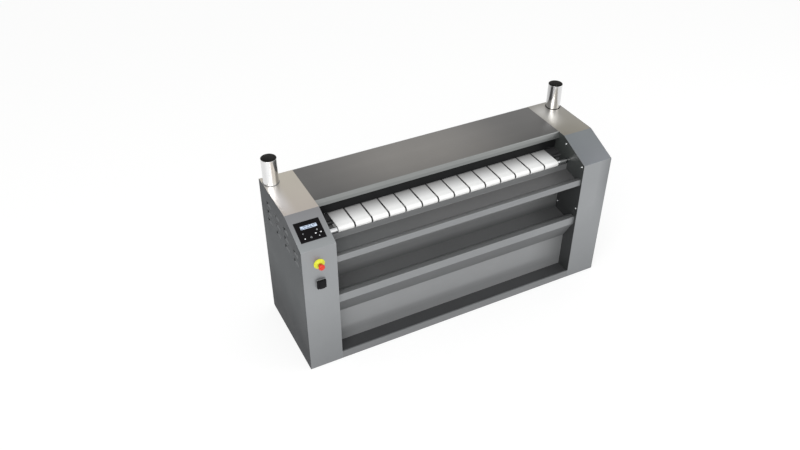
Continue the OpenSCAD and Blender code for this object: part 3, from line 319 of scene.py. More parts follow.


# Colours that depend on the facet or on the place; most of them paint light, shade and reflections

def casing_painted_light(top_back, top_front, slope_low, slope_high, reflection_x, reflection_reach, reflection_y, reflection_tint):
    """Painted light: tops warm, slopes cool, fronts neutral and shaded near the floor; a painted reflection
    before the pipe.
    """
    def grade(s):
        up = s.normal(Z)
        z = s.at(Z)
        # Painted shade: the front darker towards the floor
        front = s.blend(s.spread(z, 0.0, 0.55), (0.252, 0.260, 0.267), (0.348, 0.358, 0.368))
        # Painted shade: the front darker at its outer edge
        outer = s.times(s.spread(s.at(X), 0.92, 0.99), s.spread(z, 0.35, 0.70))
        front = s.blend(outer, front, (0.265, 0.273, 0.281))
        slope = s.blend(s.spread(z, 0.87, 0.955), slope_low, slope_high)
        y = s.at(Y)
        # Painted reflection of the pipe on the top, across X and along Y
        across = s.spread(s.aside(reflection_x), reflection_reach, 0.0, smooth=True)
        painted_reflection = s.times(across, s.spread(y, *reflection_y, smooth=True))
        painted_reflection = s.times(painted_reflection, s.spread(y, 0.31, 0.22))
        # Painted light: the top lighter towards the back
        top = s.blend(s.spread(y, -0.08, 0.27), top_front, top_back)
        top = s.blend(painted_reflection, top, s.tinted(top, reflection_tint))
        colour = s.blend(s.spread(up, 0.80, 0.86), front, slope)
        return s.blend(s.spread(up, 0.96, 0.985), colour, top)
    return grade


def cover_painted_light(s):
    """Painted light and shade: the flat top lit in its middle, darker at its ends, back and front; the lip
    lit at its bend.
    """
    # A painted reflection lights the middle of the flat top
    off = s.math("ABSOLUTE", s.math("ADD", s.at(X), 0.08))
    flat = s.blend(s.spread(off, 0.1, 0.75, smooth=True), (0.292, 0.28, 0.267), (0.172, 0.169, 0.166))
    y, z = s.at(Y), s.at(Z)
    # Painted shade towards the back and the front
    back = s.spread(y, 0.19, 0.30, 1.0, 0.86)
    front = s.spread(y, 0.07, -0.01, 1.0, 0.91)
    flat = s.tinted(flat, s.grey(s.times(back, front)))
    # Painted highlight on the lip near its bend
    lip = s.blend(s.spread(z, 0.934, 0.938), (0.225, 0.234, 0.231), (0.268, 0.277, 0.272))
    return s.blend(s.spread(s.normal(Z), 0.90, 0.97), lip, flat)


def tray_painted_shade(s):
    """Painted shade: inside the trays the floors are darker than the walls, the right ends and undersides
    darker; the front lips are light.
    """
    x, y, z = s.at(X), s.at(Y), s.at(Z)
    upper = s.spread(z, 0.62, 0.68)
    # Painted shade towards the right ends
    right = s.spread(x, 0.55, 0.72, 1.0, 0.8)
    lip = s.blend(upper, (0.275, 0.283, 0.291), (0.262, 0.269, 0.276))
    wall = s.blend(s.spread(z, 0.445, 0.495), (0.160, 0.163, 0.166), (0.290, 0.295, 0.300))
    facing = s.blend(s.spread(y, -0.24, -0.20), lip, wall)
    low = s.blend(s.spread(y, -0.190, -0.175), (0.252, 0.257, 0.261), (0.213, 0.216, 0.219))
    low = s.tinted(low, s.grey(right))
    high = s.blend(s.spread(x, -0.75, -0.10), (0.119, 0.123, 0.124), (0.145, 0.145, 0.146))
    high = s.blend(s.spread(y, -0.250, -0.235), (0.172, 0.174, 0.176), high)
    floors = s.blend(upper, low, high)
    inside = s.blend(s.spread(s.normal(Z), 0.15, 0.55), (0.270, 0.275, 0.280), floors)
    face = s.blend(s.spread(s.normal(Y), -0.55, -0.80), inside, facing)
    # Painted shade on the faces that look down
    under = s.blend(s.spread(x, -0.8, 0.0), (0.178, 0.183, 0.190), (0.248, 0.254, 0.260))
    return s.blend(s.spread(s.normal(Z), -0.30, -0.55), face, under)


def panel_painted_shade(s):
    """Lower front panel, painted shade: a light upright with a darker band low down, under a bevel painted
    dark.
    """
    x, z = s.at(X), s.at(Z)
    low = s.blend(s.spread(z, 0.05, 0.10), (0.268, 0.274, 0.281), (0.213, 0.217, 0.223))
    # Painted shade towards the right end
    high = s.blend(s.spread(x, 0.55, 0.72), (0.267, 0.273, 0.280), (0.215, 0.220, 0.225))
    upright = s.blend(s.spread(z, 0.125, 0.165, smooth=True), low, high)
    # The bevel painted dark as shade
    bevel = s.blend(s.spread(x, -0.75, -0.25), (0.134, 0.138, 0.142), (0.160, 0.164, 0.169))
    return s.blend(s.spread(s.normal(Y), -0.90, -0.95), bevel, upright)


def side_painted_light(s):
    """Painted shade towards the floor and behind the louvres, and a painted highlight on their blades."""
    z = s.at(Z)
    sheet = s.blend(s.spread(z, 0.15, 0.50), (0.038, 0.040, 0.043), (0.082, 0.088, 0.092))
    sheet = s.blend(s.spread(z, 0.45, 0.70), sheet, (0.076, 0.081, 0.085))
    sheet = s.blend(s.spread(z, 0.74, 0.82), sheet, (0.062, 0.066, 0.070))
    recess = s.spread(s.aside(), 0.9992, 0.9985)
    # Painted highlight on the louvre blades
    painted_blade_highlight = s.times(recess, s.spread(s.normal(Z), 0.2, 0.4))
    return s.blend(painted_blade_highlight, sheet, (0.15, 0.155, 0.16))


def inner_painted_light(s):
    """A little lighter near the top, as a painted reflection."""
    return s.blend(s.spread(s.at(Z), 0.70, 0.90), (0.034, 0.036, 0.037), (0.042, 0.047, 0.045))


def belt_grade(s):
    """The belts lie in the guard's shade at the back."""
    return s.blend(s.spread(s.at(Y), -0.105, 0.0), (0.985, 0.985, 0.98), (0.44, 0.44, 0.44))


def ring_grade(s):
    """The left ring is pale, the right one black."""
    right = s.math("GREATER_THAN", s.at(X), 0.0)
    return s.blend(right, (0.22, 0.22, 0.22), (0.018, 0.018, 0.018))


# Reflections painted on the pipes round their axes: (degrees, brightness)
PIPE_LEFT_REFLECTION = ((-180, 0.72), (-140, 0.72), (-120, 0.86), (-78, 0.86), (-68, 0.30), (-54, 0.30),
             (-44, 0.55), (0, 0.6), (180, 0.72))
PIPE_RIGHT_REFLECTION = ((-180, 0.5), (-160, 0.30), (-148, 0.30), (-138, 0.84), (-118, 0.84), (-98, 0.62),
              (-60, 0.72), (0, 0.7), (180, 0.5))


def painted_reflection_bands(s, turn, stops):
    value = stops[0][1]
    for (a, low), (b, high) in zip(stops, stops[1:]):
        value = s.math("ADD", value, s.spread(turn, a, b, 0.0, high - low))
    return s.grey(value)


def chrome_pipe(name):
    """Chrome outside with painted reflections round it; the inside painted dark and dull as shade."""
    s = Shader(name)
    x = s.math("SUBTRACT", s.math("ABSOLUTE", s.at(X)), PIPE_X)
    y = s.math("SUBTRACT", s.at(Y), PIPE_Y)
    r = s.math("SQRT", s.math("ADD", s.times(x, x), s.times(y, y)))
    # The inside is painted dark and dull as shade
    inside = s.spread(r, 43.2 * MM, 43.6 * MM, 1.0, 0.0)
    turn = s.math("DEGREES", s.math("ARCTAN2", y, s.times(x, s.math("SIGN", s.at(X)))))
    right = s.math("GREATER_THAN", s.at(X), 0.0)
    # Painted reflections: bright and dark bands round each pipe
    shade = s.blend(right, painted_reflection_bands(s, turn, PIPE_LEFT_REFLECTION), painted_reflection_bands(s, turn, PIPE_RIGHT_REFLECTION))
    fine = s.noise(40, (8, 8, 1))
    s.set("Base Color", s.blend(inside, shade, (0.035, 0.034, 0.032)))
    s.set("Metallic", s.math("SUBTRACT", 1.0, inside))
    s.set("Roughness", s.math("ADD", s.spread(fine, 0.3, 0.7, 0.12, 0.19), s.times(inside, 0.6)))
    s.set("Normal", s.bump(fine, 0.02, 0.2 * MM))
    return s.material


def dark_middle_roller(name):
    """Steel roller, dark and not metal in the middle where the gaps between the belts show it, bright at its
    ends.
    """
    s = Shader(name)
    dark_middle = s.spread(s.aside(), 0.7275, 0.7285, 1.0, 0.0)
    fine = s.noise(30, (40, 1, 1))
    s.set("Base Color", s.blend(dark_middle, (0.82, 0.825, 0.83), (0.02, 0.02, 0.021)))
    s.set("Metallic", s.math("SUBTRACT", 1.0, dark_middle))
    s.set("Roughness", s.math("ADD", s.spread(fine, 0.3, 0.7, 0.13, 0.2), s.times(dark_middle, 0.5)))
    s.set("Normal", s.bump(fine, 0.04, 0.2 * MM))
    return s.material


# Materials of the CAD nodes

def casing(name, *tones):
    return steel(name, casing_painted_light(*tones), grain=(60, 60, 1), rough=(0.34, 0.43), front_rough=0.12)


# Tones: warm tops at back and front and cool slopes low and high are painted light; then the place, reach,
# run along Y and tint of the pipe's painted reflection
casing_left = casing("casing_steel_left",
                     (0.69, 0.645, 0.565), (0.66, 0.60, 0.545),
                     (0.418, 0.433, 0.437), (0.360, 0.356, 0.366),
                     0.97, 0.065, (-0.14, 0.06), (1.24, 1.29, 1.41))
casing_right = casing("casing_steel_right",
                      (0.445, 0.43, 0.40), (0.365, 0.342, 0.295),
                      (0.258, 0.270, 0.287), (0.290, 0.308, 0.321),
                      0.85, 0.10, (0.0, 0.17), (1.66, 1.69, 1.77))
side = paint("side_paint", side_painted_light, rough=0.58, specular=0.15)
inner = paint("inner_paint", inner_painted_light, rough=0.42, coat=0.1)
cover = steel("cover_steel", cover_painted_light, rough=(0.30, 0.40), metal=0.8)
tray = steel("tray_steel", tray_painted_shade, rough=(0.42, 0.52), metal=0.55)
panel_steel = steel("panel_steel", panel_painted_shade, rough=(0.48, 0.58), metal=0.12)
skirt_steel = steel("skirt_steel", (0.20, 0.205, 0.21), rough=(0.42, 0.52), metal=0.5)
machine = steel("machine_steel", (0.34, 0.34, 0.35), grain=(20, 20, 20), rough=(0.3, 0.45))
zinc = steel("zinc_sheet", (0.46, 0.47, 0.48), grain=(1, 1, 1), rough=(0.35, 0.55), mottle=0.12)
roller = steel("roller_steel", (0.66, 0.67, 0.68), grain=(60, 1, 1), rough=(0.16, 0.26))
screw_steel = steel("screw_steel", (0.7, 0.71, 0.72), grain=(20, 20, 20), rough=(0.16, 0.26))
cylinder = steel("cylinder_steel", (0.62, 0.63, 0.64), grain=(1, 30, 30), rough=(0.1, 0.2))
fan_alloy = steel("fan_alloy", (0.55, 0.55, 0.56), grain=(10, 10, 10), rough=(0.35, 0.5))
chrome = chrome_pipe("pipe_chrome")

frame_paint = paint("frame_paint", (0.05, 0.051, 0.053), rough=0.55, specular=0.3)
shield_paint = paint("shield_paint", (0.13, 0.132, 0.135), rough=0.5)
table_paint = paint("table_paint", (0.05, 0.05, 0.052), rough=0.5)
guard_paint = paint("guard_paint", (0.010, 0.0105, 0.011), rough=0.55, specular=0.16)
bearing_iron = paint("bearing_iron", (0.06, 0.075, 0.08), rough=0.5, peel=0.25, grain=120)
motor_paint = paint("motor_paint", (0.07, 0.13, 0.22), rough=0.4, peel=0.2)
rubber = paint("rubber", (0.018, 0.018, 0.018), rough=0.75, edge_wear_light=0.1, specular=0.3)
ring_rubber = paint("ring_rubber", ring_grade, rough=0.7, edge_wear_light=0.1, specular=0.3)

belt = cloth("belt_cloth", belt_grade, dark=0.94, rough=0.7, stain=0.02)
press = cloth("press_cloth", (0.62, 0.58, 0.47), pitch=2.2)

knob_plastic = plastic("dark_plastic", (0.007, 0.007, 0.008), rough=0.6, specular=0.12)
grey_plastic = plastic("grey_plastic", (0.22, 0.225, 0.23), rough=0.55, specular=0.3)
housing = plastic("housing_plastic", (0.02, 0.02, 0.022), rough=0.45)
red = plastic("red_plastic", (0.68, 0.027, 0.007), rough=0.36, coat=0.1)
yellow = plastic("yellow_plastic", (0.68, 0.70, 0.03), rough=0.45)
amber = plastic("stop_gasket", (0.42, 0.17, 0.012), rough=0.5)
membrane = plastic("membrane", (0.0035, 0.0028, 0.0035), rough=0.45, fine=1500, specular=0.12)
window = plastic("window", (0.60, 0.70, 0.86), rough=0.25)
keys = plastic("keys", (0.012, 0.012, 0.014), rough=0.4, specular=0.3)

assign(casing_left, "left_shell")
assign(casing_right, "right_shell")
assign(side, "left_side_panel", "right_side_panel")
assign(inner, "left_inner_plate", "right_inner_plate")
assign(cover, "top_cover")
assign(tray, "feed_tray", "receiving_tray")
assign(skirt_steel, "skirting")
assign(panel_steel, "lower_front_panel")
assign(frame_paint, "base_frame")
assign(zinc, "rear_panels", "electrical_plate", "fan_housings")
assign(shield_paint, "heat_shield")
assign(table_paint, "belt_support")
assign(belt, "feed_belts")
assign(press, "ironing_belts")
assign(rubber, "feet", "feed_drive_belt")
assign(ring_rubber, "chimney_grommets")
assign(chrome, "chimneys")
assign(cylinder, "cylinder")
assign(roller, "entry_roller", "exit_roller", "rear_top_roller", "rear_bottom_roller")
assign(dark_middle_roller("feed_roller"), "feed_roller_front", "feed_roller_rear")
assign(machine, "cylinder_sprocket", "motor_sprocket", "drive_chain", "temperature_probes",
       "stripper_fingers", "heating_elements")
assign(screw_steel, "casing_screws")
assign(bearing_iron, "cylinder_bearings", "roller_bearings")
assign(motor_paint, "gear_motor")
assign(fan_alloy, "fan_impeller_left", "fan_impeller_right")
assign(guard_paint, "finger_guard")
assign(knob_plastic, "switch_knob")
assign(housing, "switchgear", "switch_blocks", "cable_gland")
assign(grey_plastic, "switch_plate")
assign(membrane, "control_panel")
assign(window, "display_window")
assign(keys, "key_start", "key_stop", "key_menu", "key_left", "key_right", "key_up", "key_down")
assign(yellow, "estop_collar")
assign(red, "estop_button", "estop_stem")


# Pieces that stand for CAD nodes or are added to them

MERGE = 0.002 * MM
# A fold in a sheet is a long edge between broad faces, turned by an angle in this range
FOLD_LENGTH, FOLD_WIDTH = 30 * MM, 4 * MM
FOLD_LEAST, FOLD_MOST = radians(12), radians(120)
SHARP_EDGE = radians(60)
# The bead along the top cover: its height, half its width and its depth
COVER_BEAD = (936 * MM, 1.6 * MM, 1.0 * MM)
# Areas in square metres, the cosine between faces of one plane, and the reach of a cut
BROAD, SLIVER = 0.02, 1e-4
ONE_PLANE, CUT_REACH = 0.9999, 1e-6


def piece(name, bm, material, body, sharp):
    """One object from bm, smooth but for edges over sharp degrees."""
    mesh = bpy.data.meshes.new(name)
    bm.normal_update()
    bm.to_mesh(mesh)
    bm.free()
    mesh.shade_smooth()
    mesh.set_sharp_from_angle(angle=radians(sharp))
    mesh.materials.append(material)
    o = in_scene(bpy.data.objects.new(name, mesh))
    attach(o, body)
    return o


def cad_copy(node):
    """The node's mesh with its flat faces joined."""
    bm = bmesh.new()
    bm.from_mesh(NODES[node].data)
    bmesh.ops.remove_doubles(bm, verts=bm.verts, dist=MERGE)
    bmesh.ops.dissolve_limit(bm, angle_limit=radians(0.4), verts=bm.verts, edges=bm.edges)
    bm.normal_update()
    return bm


def bevel(bm, edges, width, segments):
    bmesh.ops.bevel(bm, geom=edges, offset=width * MM, offset_type="OFFSET", segments=segments,
                    profile=0.5, affect="EDGES", clamp_overlap=True)


def width_of(face, edge):
    return face.calc_area() / max(edge.calc_length(), 1e-6)


def pressed_bead(bm, height, half, depth):
    """A shallow groove along X in the sheet's broad front face."""
    face = min((f for f in bm.faces if f.calc_area() > BROAD), key=lambda f: f.normal.y)
    normal = face.normal.copy()
    for z in (height - half, height, height + half):
        strips = [f for f in bm.faces if f.normal.dot(normal) > ONE_PLANE and f.calc_area() > SLIVER]
        edges = dict.fromkeys(e for f in strips for e in f.edges)
        verts = dict.fromkeys(v for f in strips for v in f.verts)
        bmesh.ops.bisect_plane(bm, geom=[*strips, *edges, *verts], dist=CUT_REACH,
                               plane_co=(0, 0, z), plane_no=(0, 0, 1))
        bm.normal_update()
    strips = [f for f in bm.faces if f.normal.dot(normal) > ONE_PLANE]
    for v in dict.fromkeys(v for f in strips for v in f.verts):
        if abs(v.co.z - height) < CUT_REACH:
            v.co -= normal * depth


def folded(node, outer=3.0, inner=1.5, across=True, bead=None):
    """The sheet with its bends rounded; cut edges stay as they are. across: its ends are cut edges."""
    bm = cad_copy(node)
    for convex, radius in ((True, outer), (False, inner)):
        bends = []
        for e in bm.edges:
            if len(e.link_faces) != 2 or e.is_convex != convex or e.calc_length() < FOLD_LENGTH:
                continue
            if across and max(abs(f.normal.x) for f in e.link_faces) > 0.99:
                continue
            if not FOLD_LEAST < e.calc_face_angle() < FOLD_MOST:
                continue
            if min(width_of(f, e) for f in e.link_faces) > FOLD_WIDTH:
                bends.append(e)
        if bends:
            bevel(bm, bends, radius, 4)
    if bead:
        pressed_bead(bm, *bead)
    o = piece(node + "_sheet", bm, NODES[node].data.materials[0], "machine", 20)
    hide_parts(node)


def eased(node, body, width):
    """The node with all its sharp edges eased."""
    bm = cad_copy(node)
    edges = [e for e in bm.edges if len(e.link_faces) == 2 and e.calc_face_angle() > SHARP_EDGE]
    bevel(bm, edges, width, 3)
    o = piece(node + "_eased", bm, NODES[node].data.materials[0], body, 25)
    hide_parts(node)


def skin(bm, rows):
    """Faces between rings of vertices that follow each other."""
    for a, b in zip(rows, rows[1:]):
        n = len(a)
        for i in range(n):
            bm.faces.new((a[i], a[(i + 1) % n], b[(i + 1) % n], b[i]))


def lathe(bm, profile, place, turn, steps, hexes=()):
    """Rings of (radius, height) about Z, turned and moved to place. Those in hexes are hexagons."""
    rings = []
    for n, (r, h) in enumerate(profile):
        ring = []
        for i in range(steps):
            t = 2 * pi * i / steps
            q = r / cos(((t + pi / 6) % (pi / 3)) - pi / 6) if n in hexes else r
            ring.append(bm.verts.new(Matrix.Translation(place) @ turn @ Vector((q * cos(t), q * sin(t), h))))
        rings.append(ring)
    skin(bm, rings)
    bm.faces.new(list(reversed(rings[0])))
    bm.faces.new(rings[-1])


folded("left_shell", across=False)
folded("right_shell", across=False)
folded("top_cover", outer=3.5, inner=2.0, bead=COVER_BEAD)
folded("feed_tray")
folded("receiving_tray")
folded("lower_front_panel")
eased("skirting", "machine", 0.4)
eased("feed_belts", "machine", 0.5)
eased("switch_knob", "main_switch", 1.0)
eased("switch_plate", "machine", 0.8)

# Emergency stop: domed head, stepped collar and the amber gasket between them, as (radius, height) in mm
# from the cabinet's front plane, where heights grow towards the back
STOP_HEAD = ((6.1, -20.6), (10, -20.6), (10, -27), (14.5, -30.4), (17.2, -32.2), (17.9, -33.6), (18, -35),
             (17.9, -36.2), (17.2, -38.2), (15.6, -40.4), (13.2, -42.2), (11.4, -42.9), (10.9, -42.5),
             (10.4, -42.9), (7, -43.7), (3, -43.95), (0.3, -44))
STOP_COLLAR = ((6.3, -0.05), (31, -0.05), (31, -2.6), (30.4, -3.5), (29.4, -4), (26.4, -4.1),
               (25.6, -4.6), (18.6, -12.0), (17.6, -12.8), (16.4, -13), (15.6, -12.6), (14.8, -12.2),
               (14.0, -12.6), (13.2, -12.9), (6.3, -12.9))
STOP_GASKET = ((6.4, -13.0), (12.4, -13.0), (12.6, -13.4), (12.4, -14.0), (10.8, -14.3), (10.2, -13.9),
               (9.6, -14.3), (8.2, -14.5), (6.4, -14.5))
STOP_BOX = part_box("estop_button")
STOP_AT = (middle(STOP_BOX, X), FRONT, middle(STOP_BOX, Z))
Z_TO_BACK = Matrix.Rotation(-pi / 2, 4, "X")


def stop_part(name, profile, steps, material, body, sharp):
    bm = bmesh.new()
    lathe(bm, [(r * MM, h * MM) for r, h in profile], STOP_AT, Z_TO_BACK, steps)
    return piece(name, bm, material, body, sharp)


head = stop_part("estop_head_dome", STOP_HEAD, 64, red, "estop_head", 50)
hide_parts("estop_button")
collar = stop_part("estop_collar_ring", STOP_COLLAR, 64, yellow, "machine", 50)
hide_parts("estop_collar")
stop_part("estop_gasket", STOP_GASKET, 48, amber, "machine", 40)

# Screws with pan heads and hexagon sockets, one on each head of the CAD node: (radius, height) as
# shares of the head's size. The last rings are the socket.
SCREW_HEAD = ((1.0, 0.0), (1.0, 0.30), (0.965, 0.52), (0.86, 0.76), (0.70, 0.93), (0.54, 1.0),
              (0.46, 1.0), (0.44, 0.96), (0.44, 0.42), (0.05, 0.38))
SOCKET_RINGS = (6, 7, 8, 9)
PLATE_HEAD_H = 4 * MM
BACK_HEAD_H = 2.5 * MM


def loose_parts(bm):
    """The corners of each loose part's box."""
    left = dict.fromkeys(bm.verts)
    while left:
        queue, group = [left.popitem()[0]], []
        while queue:
            v = queue.pop()
            group.append(v.co.copy())
            for e in v.link_edges:
                w = e.other_vert(v)
                if w in left:
                    del left[w]
                    queue.append(w)
        yield (Vector([min(c[i] for c in group) for i in range(3)]),
               Vector([max(c[i] for c in group) for i in range(3)]))


def screw_heads():
    source = bmesh.new()
    source.from_mesh(NODES["casing_screws"].data)
    bmesh.ops.remove_doubles(source, verts=source.verts, dist=MERGE)
    bm = bmesh.new()
    for low, high in loose_parts(source):
        centre, size = (low + high) / 2, high - low
        if abs(size.y - size.z) < 0.2 * MM:
            # Head on the inner face of an inner plate
            inward = -1 if centre.x > 0 else 1
            face = low.x if centre.x > 0 else high.x
            r, h = size.y / 2, PLATE_HEAD_H
            turn = Matrix.Rotation(inward * pi / 2, 4, "Y")
            place = Vector((face - inward * h, centre.y, centre.z))
        else:
            # Head on a back sheet
            r, h = size.x / 2, BACK_HEAD_H
            turn = Z_TO_BACK
            place = Vector((centre.x, high.y - h, centre.z))
        lathe(bm, [(a * r, b * h) for a, b in SCREW_HEAD], place, turn, 24, SOCKET_RINGS)
    source.free()
    return bm


screws = piece("socket_screws", screw_heads(), screw_steel, "machine", 35)
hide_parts("casing_screws")

# Chimneys: a rolled bead at the rim and the lock seam down the back
RIM_Z, RIM_R = 1116.7 * MM, 1.15 * MM
RIM_STEPS, RIM_SIDES = 96, 10
SEAM_HEIGHTS = (960.5, 1000, 1040, 1080, 1115.5)
SEAM_LIFT, SEAM_STEP = 0.35 * MM, 0.022


def round_pipe(x, turn, radius, z):
    return Vector((x + radius * cos(turn), PIPE_Y + radius * sin(turn), z))


def chimney_trim():
    bm = bmesh.new()
    for x in (-PIPE_X, PIPE_X):
        ring = []
        for i in range(RIM_STEPS):
            turn = 2 * pi * i / RIM_STEPS
            loop = []
            for k in range(RIM_SIDES):
                u = 2 * pi * k / RIM_SIDES
                radius = PIPE_R - 0.5 * MM + RIM_R * cos(u)
                loop.append(bm.verts.new(round_pipe(x, turn, radius, RIM_Z + RIM_R * sin(u))))
            ring.append(loop)
        for i in range(RIM_STEPS):
            a, b = ring[i], ring[(i + 1) % RIM_STEPS]
            for k in range(RIM_SIDES):
                n = (k + 1) % RIM_SIDES
                bm.faces.new((a[k], b[k], b[n], a[n]))
        rows = [[bm.verts.new(round_pipe(x, pi / 2 + k * SEAM_STEP,
                                         PIPE_R + SEAM_LIFT * cos(k / 3 * pi / 2), z * MM))
                 for k in range(-3, 4)] for z in SEAM_HEIGHTS]
        for a, b in zip(rows, rows[1:]):
            for k in range(6):
                bm.faces.new((a[k + 1], a[k], b[k], b[k + 1]))
    return bm


piece("chimney_trim", chimney_trim(), chrome, "machine", 60)

# Control panel: rims, two lines of characters shown as blocks, and the marks on the keys.
# u runs to the right and v up the slope, in mm from the panel's middle, and w is the height above the slope.
PANEL_X = middle(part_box("control_panel"), X)
PANEL_V = 115 * MM
TOP = 1.0
KEY_TOP = TOP + 0.6
SINK, MARK_H = 0.02, 0.15
EASE = 0.12


def on_panel(u, v, w):
    run = PANEL_V + v * MM
    rise = w * MM
    return Vector((PANEL_X + u * MM, FRONT + run * cos(SLOPE) - rise * sin(SLOPE),
                   FRONT_H + run * sin(SLOPE) + rise * cos(SLOPE)))


def plate(bm, outline, base, height):
    """A flat shape that stands height above base, its top edge eased."""
    n = len(outline)
    cu = sum(p[0] for p in outline) / n
    cv = sum(p[1] for p in outline) / n
    high = base + height
    rows = []
    for h, shrink in ((base - SINK, 0.0), (high - EASE, 0.0), (high, EASE)):
        row = []
        for u, v in outline:
            d = max((u - cu) ** 2 + (v - cv) ** 2, 1e-6) ** 0.5
            k = 1 - shrink / d
            row.append(bm.verts.new(on_panel(cu + (u - cu) * k, cv + (v - cv) * k, h)))
        rows.append(row)
    skin(bm, rows)
    bm.faces.new(rows[-1])


def hoop(bm, outer, inner, low, high):
    """A closed frame between two outlines of equal length."""
    skin(bm, [[bm.verts.new(on_panel(u, v, h)) for u, v in line]
              for line, h in ((outer, low), (outer, high), (inner, high), (inner, low))])
    bmesh.ops.recalc_face_normals(bm, faces=bm.faces)


def rounded(u0, v0, u1, v1, r, steps=5):
    """A rectangle with round corners."""
    out = []
    corners = ((u1 - r, v1 - r, 0), (u0 + r, v1 - r, 90), (u0 + r, v0 + r, 180), (u1 - r, v0 + r, 270))
    for cu, cv, start in corners:
        for i in range(steps + 1):
            t = radians(start + 90 * i / steps)
            out.append((cu + r * cos(t), cv + r * sin(t)))
    return out


def circle(cu, cv, r, steps=28):
    return [(cu + r * cos(2 * pi * i / steps), cv + r * sin(2 * pi * i / steps)) for i in range(steps)]


ARROW = ((1.0, 0.0), (0.05, 0.95), (0.05, 0.36), (-0.95, 0.36), (-0.95, -0.36), (0.05, -0.36), (0.05, -0.95))


def arrow(cu, cv, degrees, size):
    c, s = cos(radians(degrees)), sin(radians(degrees))
    return [(cu + size * (x * c - y * s), cv + size * (x * s + y * c)) for x, y in ARROW]


rim_plastic = plastic("window_frame", (0.006, 0.006, 0.008), rough=0.35)
display_ink = plastic("display_ink", (0.012, 0.02, 0.05), rough=0.5)
bright_ink = plastic("bright_legend", (0.92, 0.93, 0.95), rough=0.45)
grey_ink = plastic("grey_legend", (0.42, 0.43, 0.45), rough=0.45)

bm = bmesh.new()
hoop(bm, rounded(-46, 11.5, 51, 37.5, 2.5), rounded(-43.0, 14.5, 48, 34.5, 1.0), TOP - 0.05, TOP + 0.5)
hoop(bm, rounded(-71.4, -62.4, 71.4, 62.4, 2.0), rounded(-70.2, -61.2, 70.2, 61.2, 1.6),
     TOP - 0.05, TOP + 0.25)
piece("panel_rims", bm, rim_plastic, "machine", 30)

# Lines of the display: (height up the panel, a block for each 1)
LINES = ((26.4, "00011110111011011111"), (17.2, "11101101111111101"))
LINE_U, CELL_STEP, CELL_W, CELL_H = -40.5, 4.3, 3.5, 5.2
bm = bmesh.new()
for v, cells in LINES:
    for i, cell in enumerate(cells):
        if cell == "1":
            u = LINE_U + i * CELL_STEP
            plate(bm, rounded(u, v, u + CELL_W, v + CELL_H, 0.6, 2), TOP, 0.12)
piece("display_blocks", bm, display_ink, "machine", 30)

# Keys: the place of each mark and its outlines. The menu mark is a hoop, the others are plates.
KEYS = {"start": (-42, -10), "stop": (-42, -42), "menu": (-7.5, -42), "left": (23.5, -25),
        "right": (52.5, -25), "up": (38, -6), "down": (38, -44)}
ARROWS = {"right": (0, 5.4), "up": (90, 4.6), "left": (180, 5.4), "down": (270, 4.6)}
BRIGHT = ("left", "right", "stop")
for key, (u, v) in KEYS.items():
    bm = bmesh.new()
    if key == "menu":
        hoop(bm, circle(u, v, 5.0), circle(u, v, 3.4), KEY_TOP - SINK, KEY_TOP + MARK_H)
    elif key == "start":
        plate(bm, [(u - 2.4, v - 3.4), (u + 3.6, v), (u - 2.4, v + 3.4)], KEY_TOP, MARK_H)
    elif key == "stop":
        plate(bm, rounded(u - 2.9, v - 2.9, u + 2.9, v + 2.9, 0.5, 3), KEY_TOP, MARK_H)
    else:
        plate(bm, arrow(u, v, *ARROWS[key]), KEY_TOP, MARK_H)
    piece("mark_" + key, bm, bright_ink if key in BRIGHT else grey_ink, "key_" + key, 30)


# Light: a pale world, one large soft lamp from the front left and a weaker one from the right

AIM = Vector((0, 0, 0.6))


def lamp(name, size, power, place):
    data = bpy.data.lights.new(name, "AREA")
    data.shape = "RECTANGLE"
    data.size = data.size_y = size
    data.energy = power
    o = in_scene(bpy.data.objects.new(name, data))
    o.location = place
    o.rotation_mode = "QUATERNION"
    o.rotation_quaternion = looking(AIM - Vector(place))


lamp("key", 3.5, 160, (-3.2, -3.6, 4.6))
lamp("fill", 3.0, 50, (4.2, -2.6, 3.4))


def seen(tree):
    """1 for what the camera sees, directly or in metal and glass, 0 for the light that falls on things."""
    path = add(tree, "ShaderNodeLightPath")
    first = add(tree, "ShaderNodeMath", operation="MAXIMUM")
    second = add(tree, "ShaderNodeMath", operation="MAXIMUM")
    tree.links.new(path.outputs["Is Camera Ray"], first.inputs[0])
    tree.links.new(path.outputs["Is Glossy Ray"], first.inputs[1])
    tree.links.new(first.outputs[0], second.inputs[0])
    tree.links.new(path.outputs["Is Transmission Ray"], second.inputs[1])
    return second.outputs[0]


def ramp(tree, source, stops):
    node = add(tree, "ShaderNodeValToRGB")
    tree.links.new(source, node.inputs[0])
    while len(node.color_ramp.elements) < len(stops):
        node.color_ramp.elements.new(0.5)
    for element, (at, colour) in zip(node.color_ramp.elements, stops):
        element.position = at
        element.color = (*colour, 1)
    return node.outputs[0]


WHITE = (1, 1, 1)
CEILING = (0.62, 0.635, 0.65)
# (height of the direction, colour): what shows behind the machine, what shows in front, and what lights it
BACK_STOPS = ((0.0, WHITE), (0.26, WHITE), (0.52, (0.62, 0.615, 0.60)), (1.0, CEILING))
FRONT_STOPS = ((0.0, WHITE), (0.26, WHITE), (0.72, WHITE), (1.0, CEILING))
LIGHT_STOPS = ((0.0, (0.95, 0.95, 0.95)), (0.5, (0.70, 0.69, 0.66)), (1.0, (0.64, 0.66, 0.68)))
# The direction's Y where the room is all back, and where it is all front
BACK_FRONT = (0.35, -0.25)
FLOOR_R, FLOOR_DROP = 40, 0.5 * MM


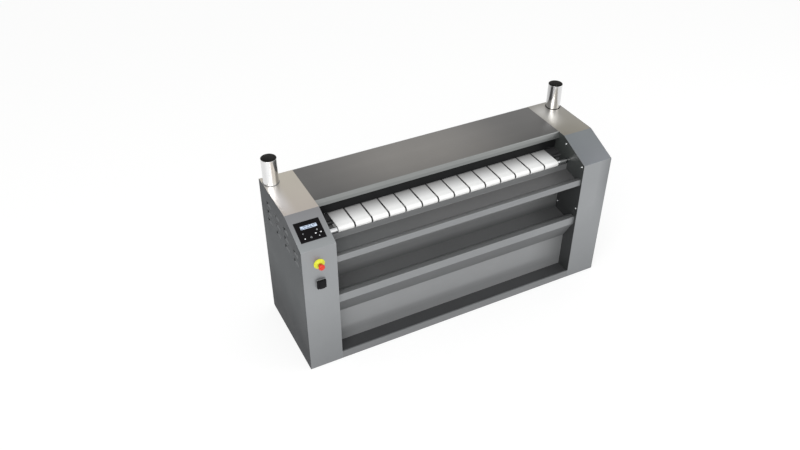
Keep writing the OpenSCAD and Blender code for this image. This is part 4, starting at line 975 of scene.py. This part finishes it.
def world():
    """White round the horizon. Higher up the room is bright in front and dimmer behind the machine."""
    data = bpy.data.worlds.new("studio")
    bpy.context.scene.world = data
    data.use_nodes = True
    tree = data.node_tree
    tree.nodes.clear()
    direction = add(tree, "ShaderNodeTexCoord").outputs["Generated"]
    parts = add(tree, "ShaderNodeSeparateXYZ")
    tree.links.new(direction, parts.inputs[0])
    height = parts.outputs[Z]
    back = ramp(tree, height, BACK_STOPS)
    front = ramp(tree, height, FRONT_STOPS)
    side = add(tree, "ShaderNodeMapRange", interpolation_type="SMOOTHSTEP")
    tree.links.new(parts.outputs[Y], side.inputs[0])
    side.inputs[1].default_value, side.inputs[2].default_value = BACK_FRONT
    room = mix(tree, side.outputs[0], back, front)
    light = ramp(tree, height, LIGHT_STOPS)
    background = add(tree, "ShaderNodeBackground")
    tree.links.new(mix(tree, seen(tree), light, room), background.inputs[0])
    background.inputs[1].default_value = 1.0
    out = add(tree, "ShaderNodeOutputWorld")
    tree.links.new(background.outputs[0], out.inputs[0])


def floor():
    """A disc that looks white, and that reflects light as pale ground does."""
    mesh = bpy.data.meshes.new("floor")
    bm = bmesh.new()
    bmesh.ops.create_circle(bm, cap_ends=True, segments=64, radius=FLOOR_R)
    bm.to_mesh(mesh)
    bm.free()
    m = bpy.data.materials.new("floor_white")
    m.use_nodes = True
    tree = m.node_tree
    tree.nodes.clear()
    shown = add(tree, "ShaderNodeBsdfDiffuse")
    glow = add(tree, "ShaderNodeEmission")
    both = add(tree, "ShaderNodeAddShader")
    plain = add(tree, "ShaderNodeBsdfDiffuse")
    pick = add(tree, "ShaderNodeMixShader")
    out = add(tree, "ShaderNodeOutputMaterial")
    shown.inputs[0].default_value = (0.30, 0.30, 0.30, 1)
    glow.inputs[0].default_value = (0.74, 0.74, 0.74, 1)
    plain.inputs[0].default_value = (0.9, 0.9, 0.9, 1)
    tree.links.new(shown.outputs[0], both.inputs[0])
    tree.links.new(glow.outputs[0], both.inputs[1])
    tree.links.new(seen(tree), pick.inputs[0])
    tree.links.new(plain.outputs[0], pick.inputs[1])
    tree.links.new(both.outputs[0], pick.inputs[2])
    tree.links.new(pick.outputs[0], out.inputs[0])
    mesh.materials.append(m)
    o = in_scene(bpy.data.objects.new("floor", mesh))
    o.location.z = -FLOOR_DROP
    return o


world()
floor()

bpy.context.scene.view_settings.view_transform = "Standard"
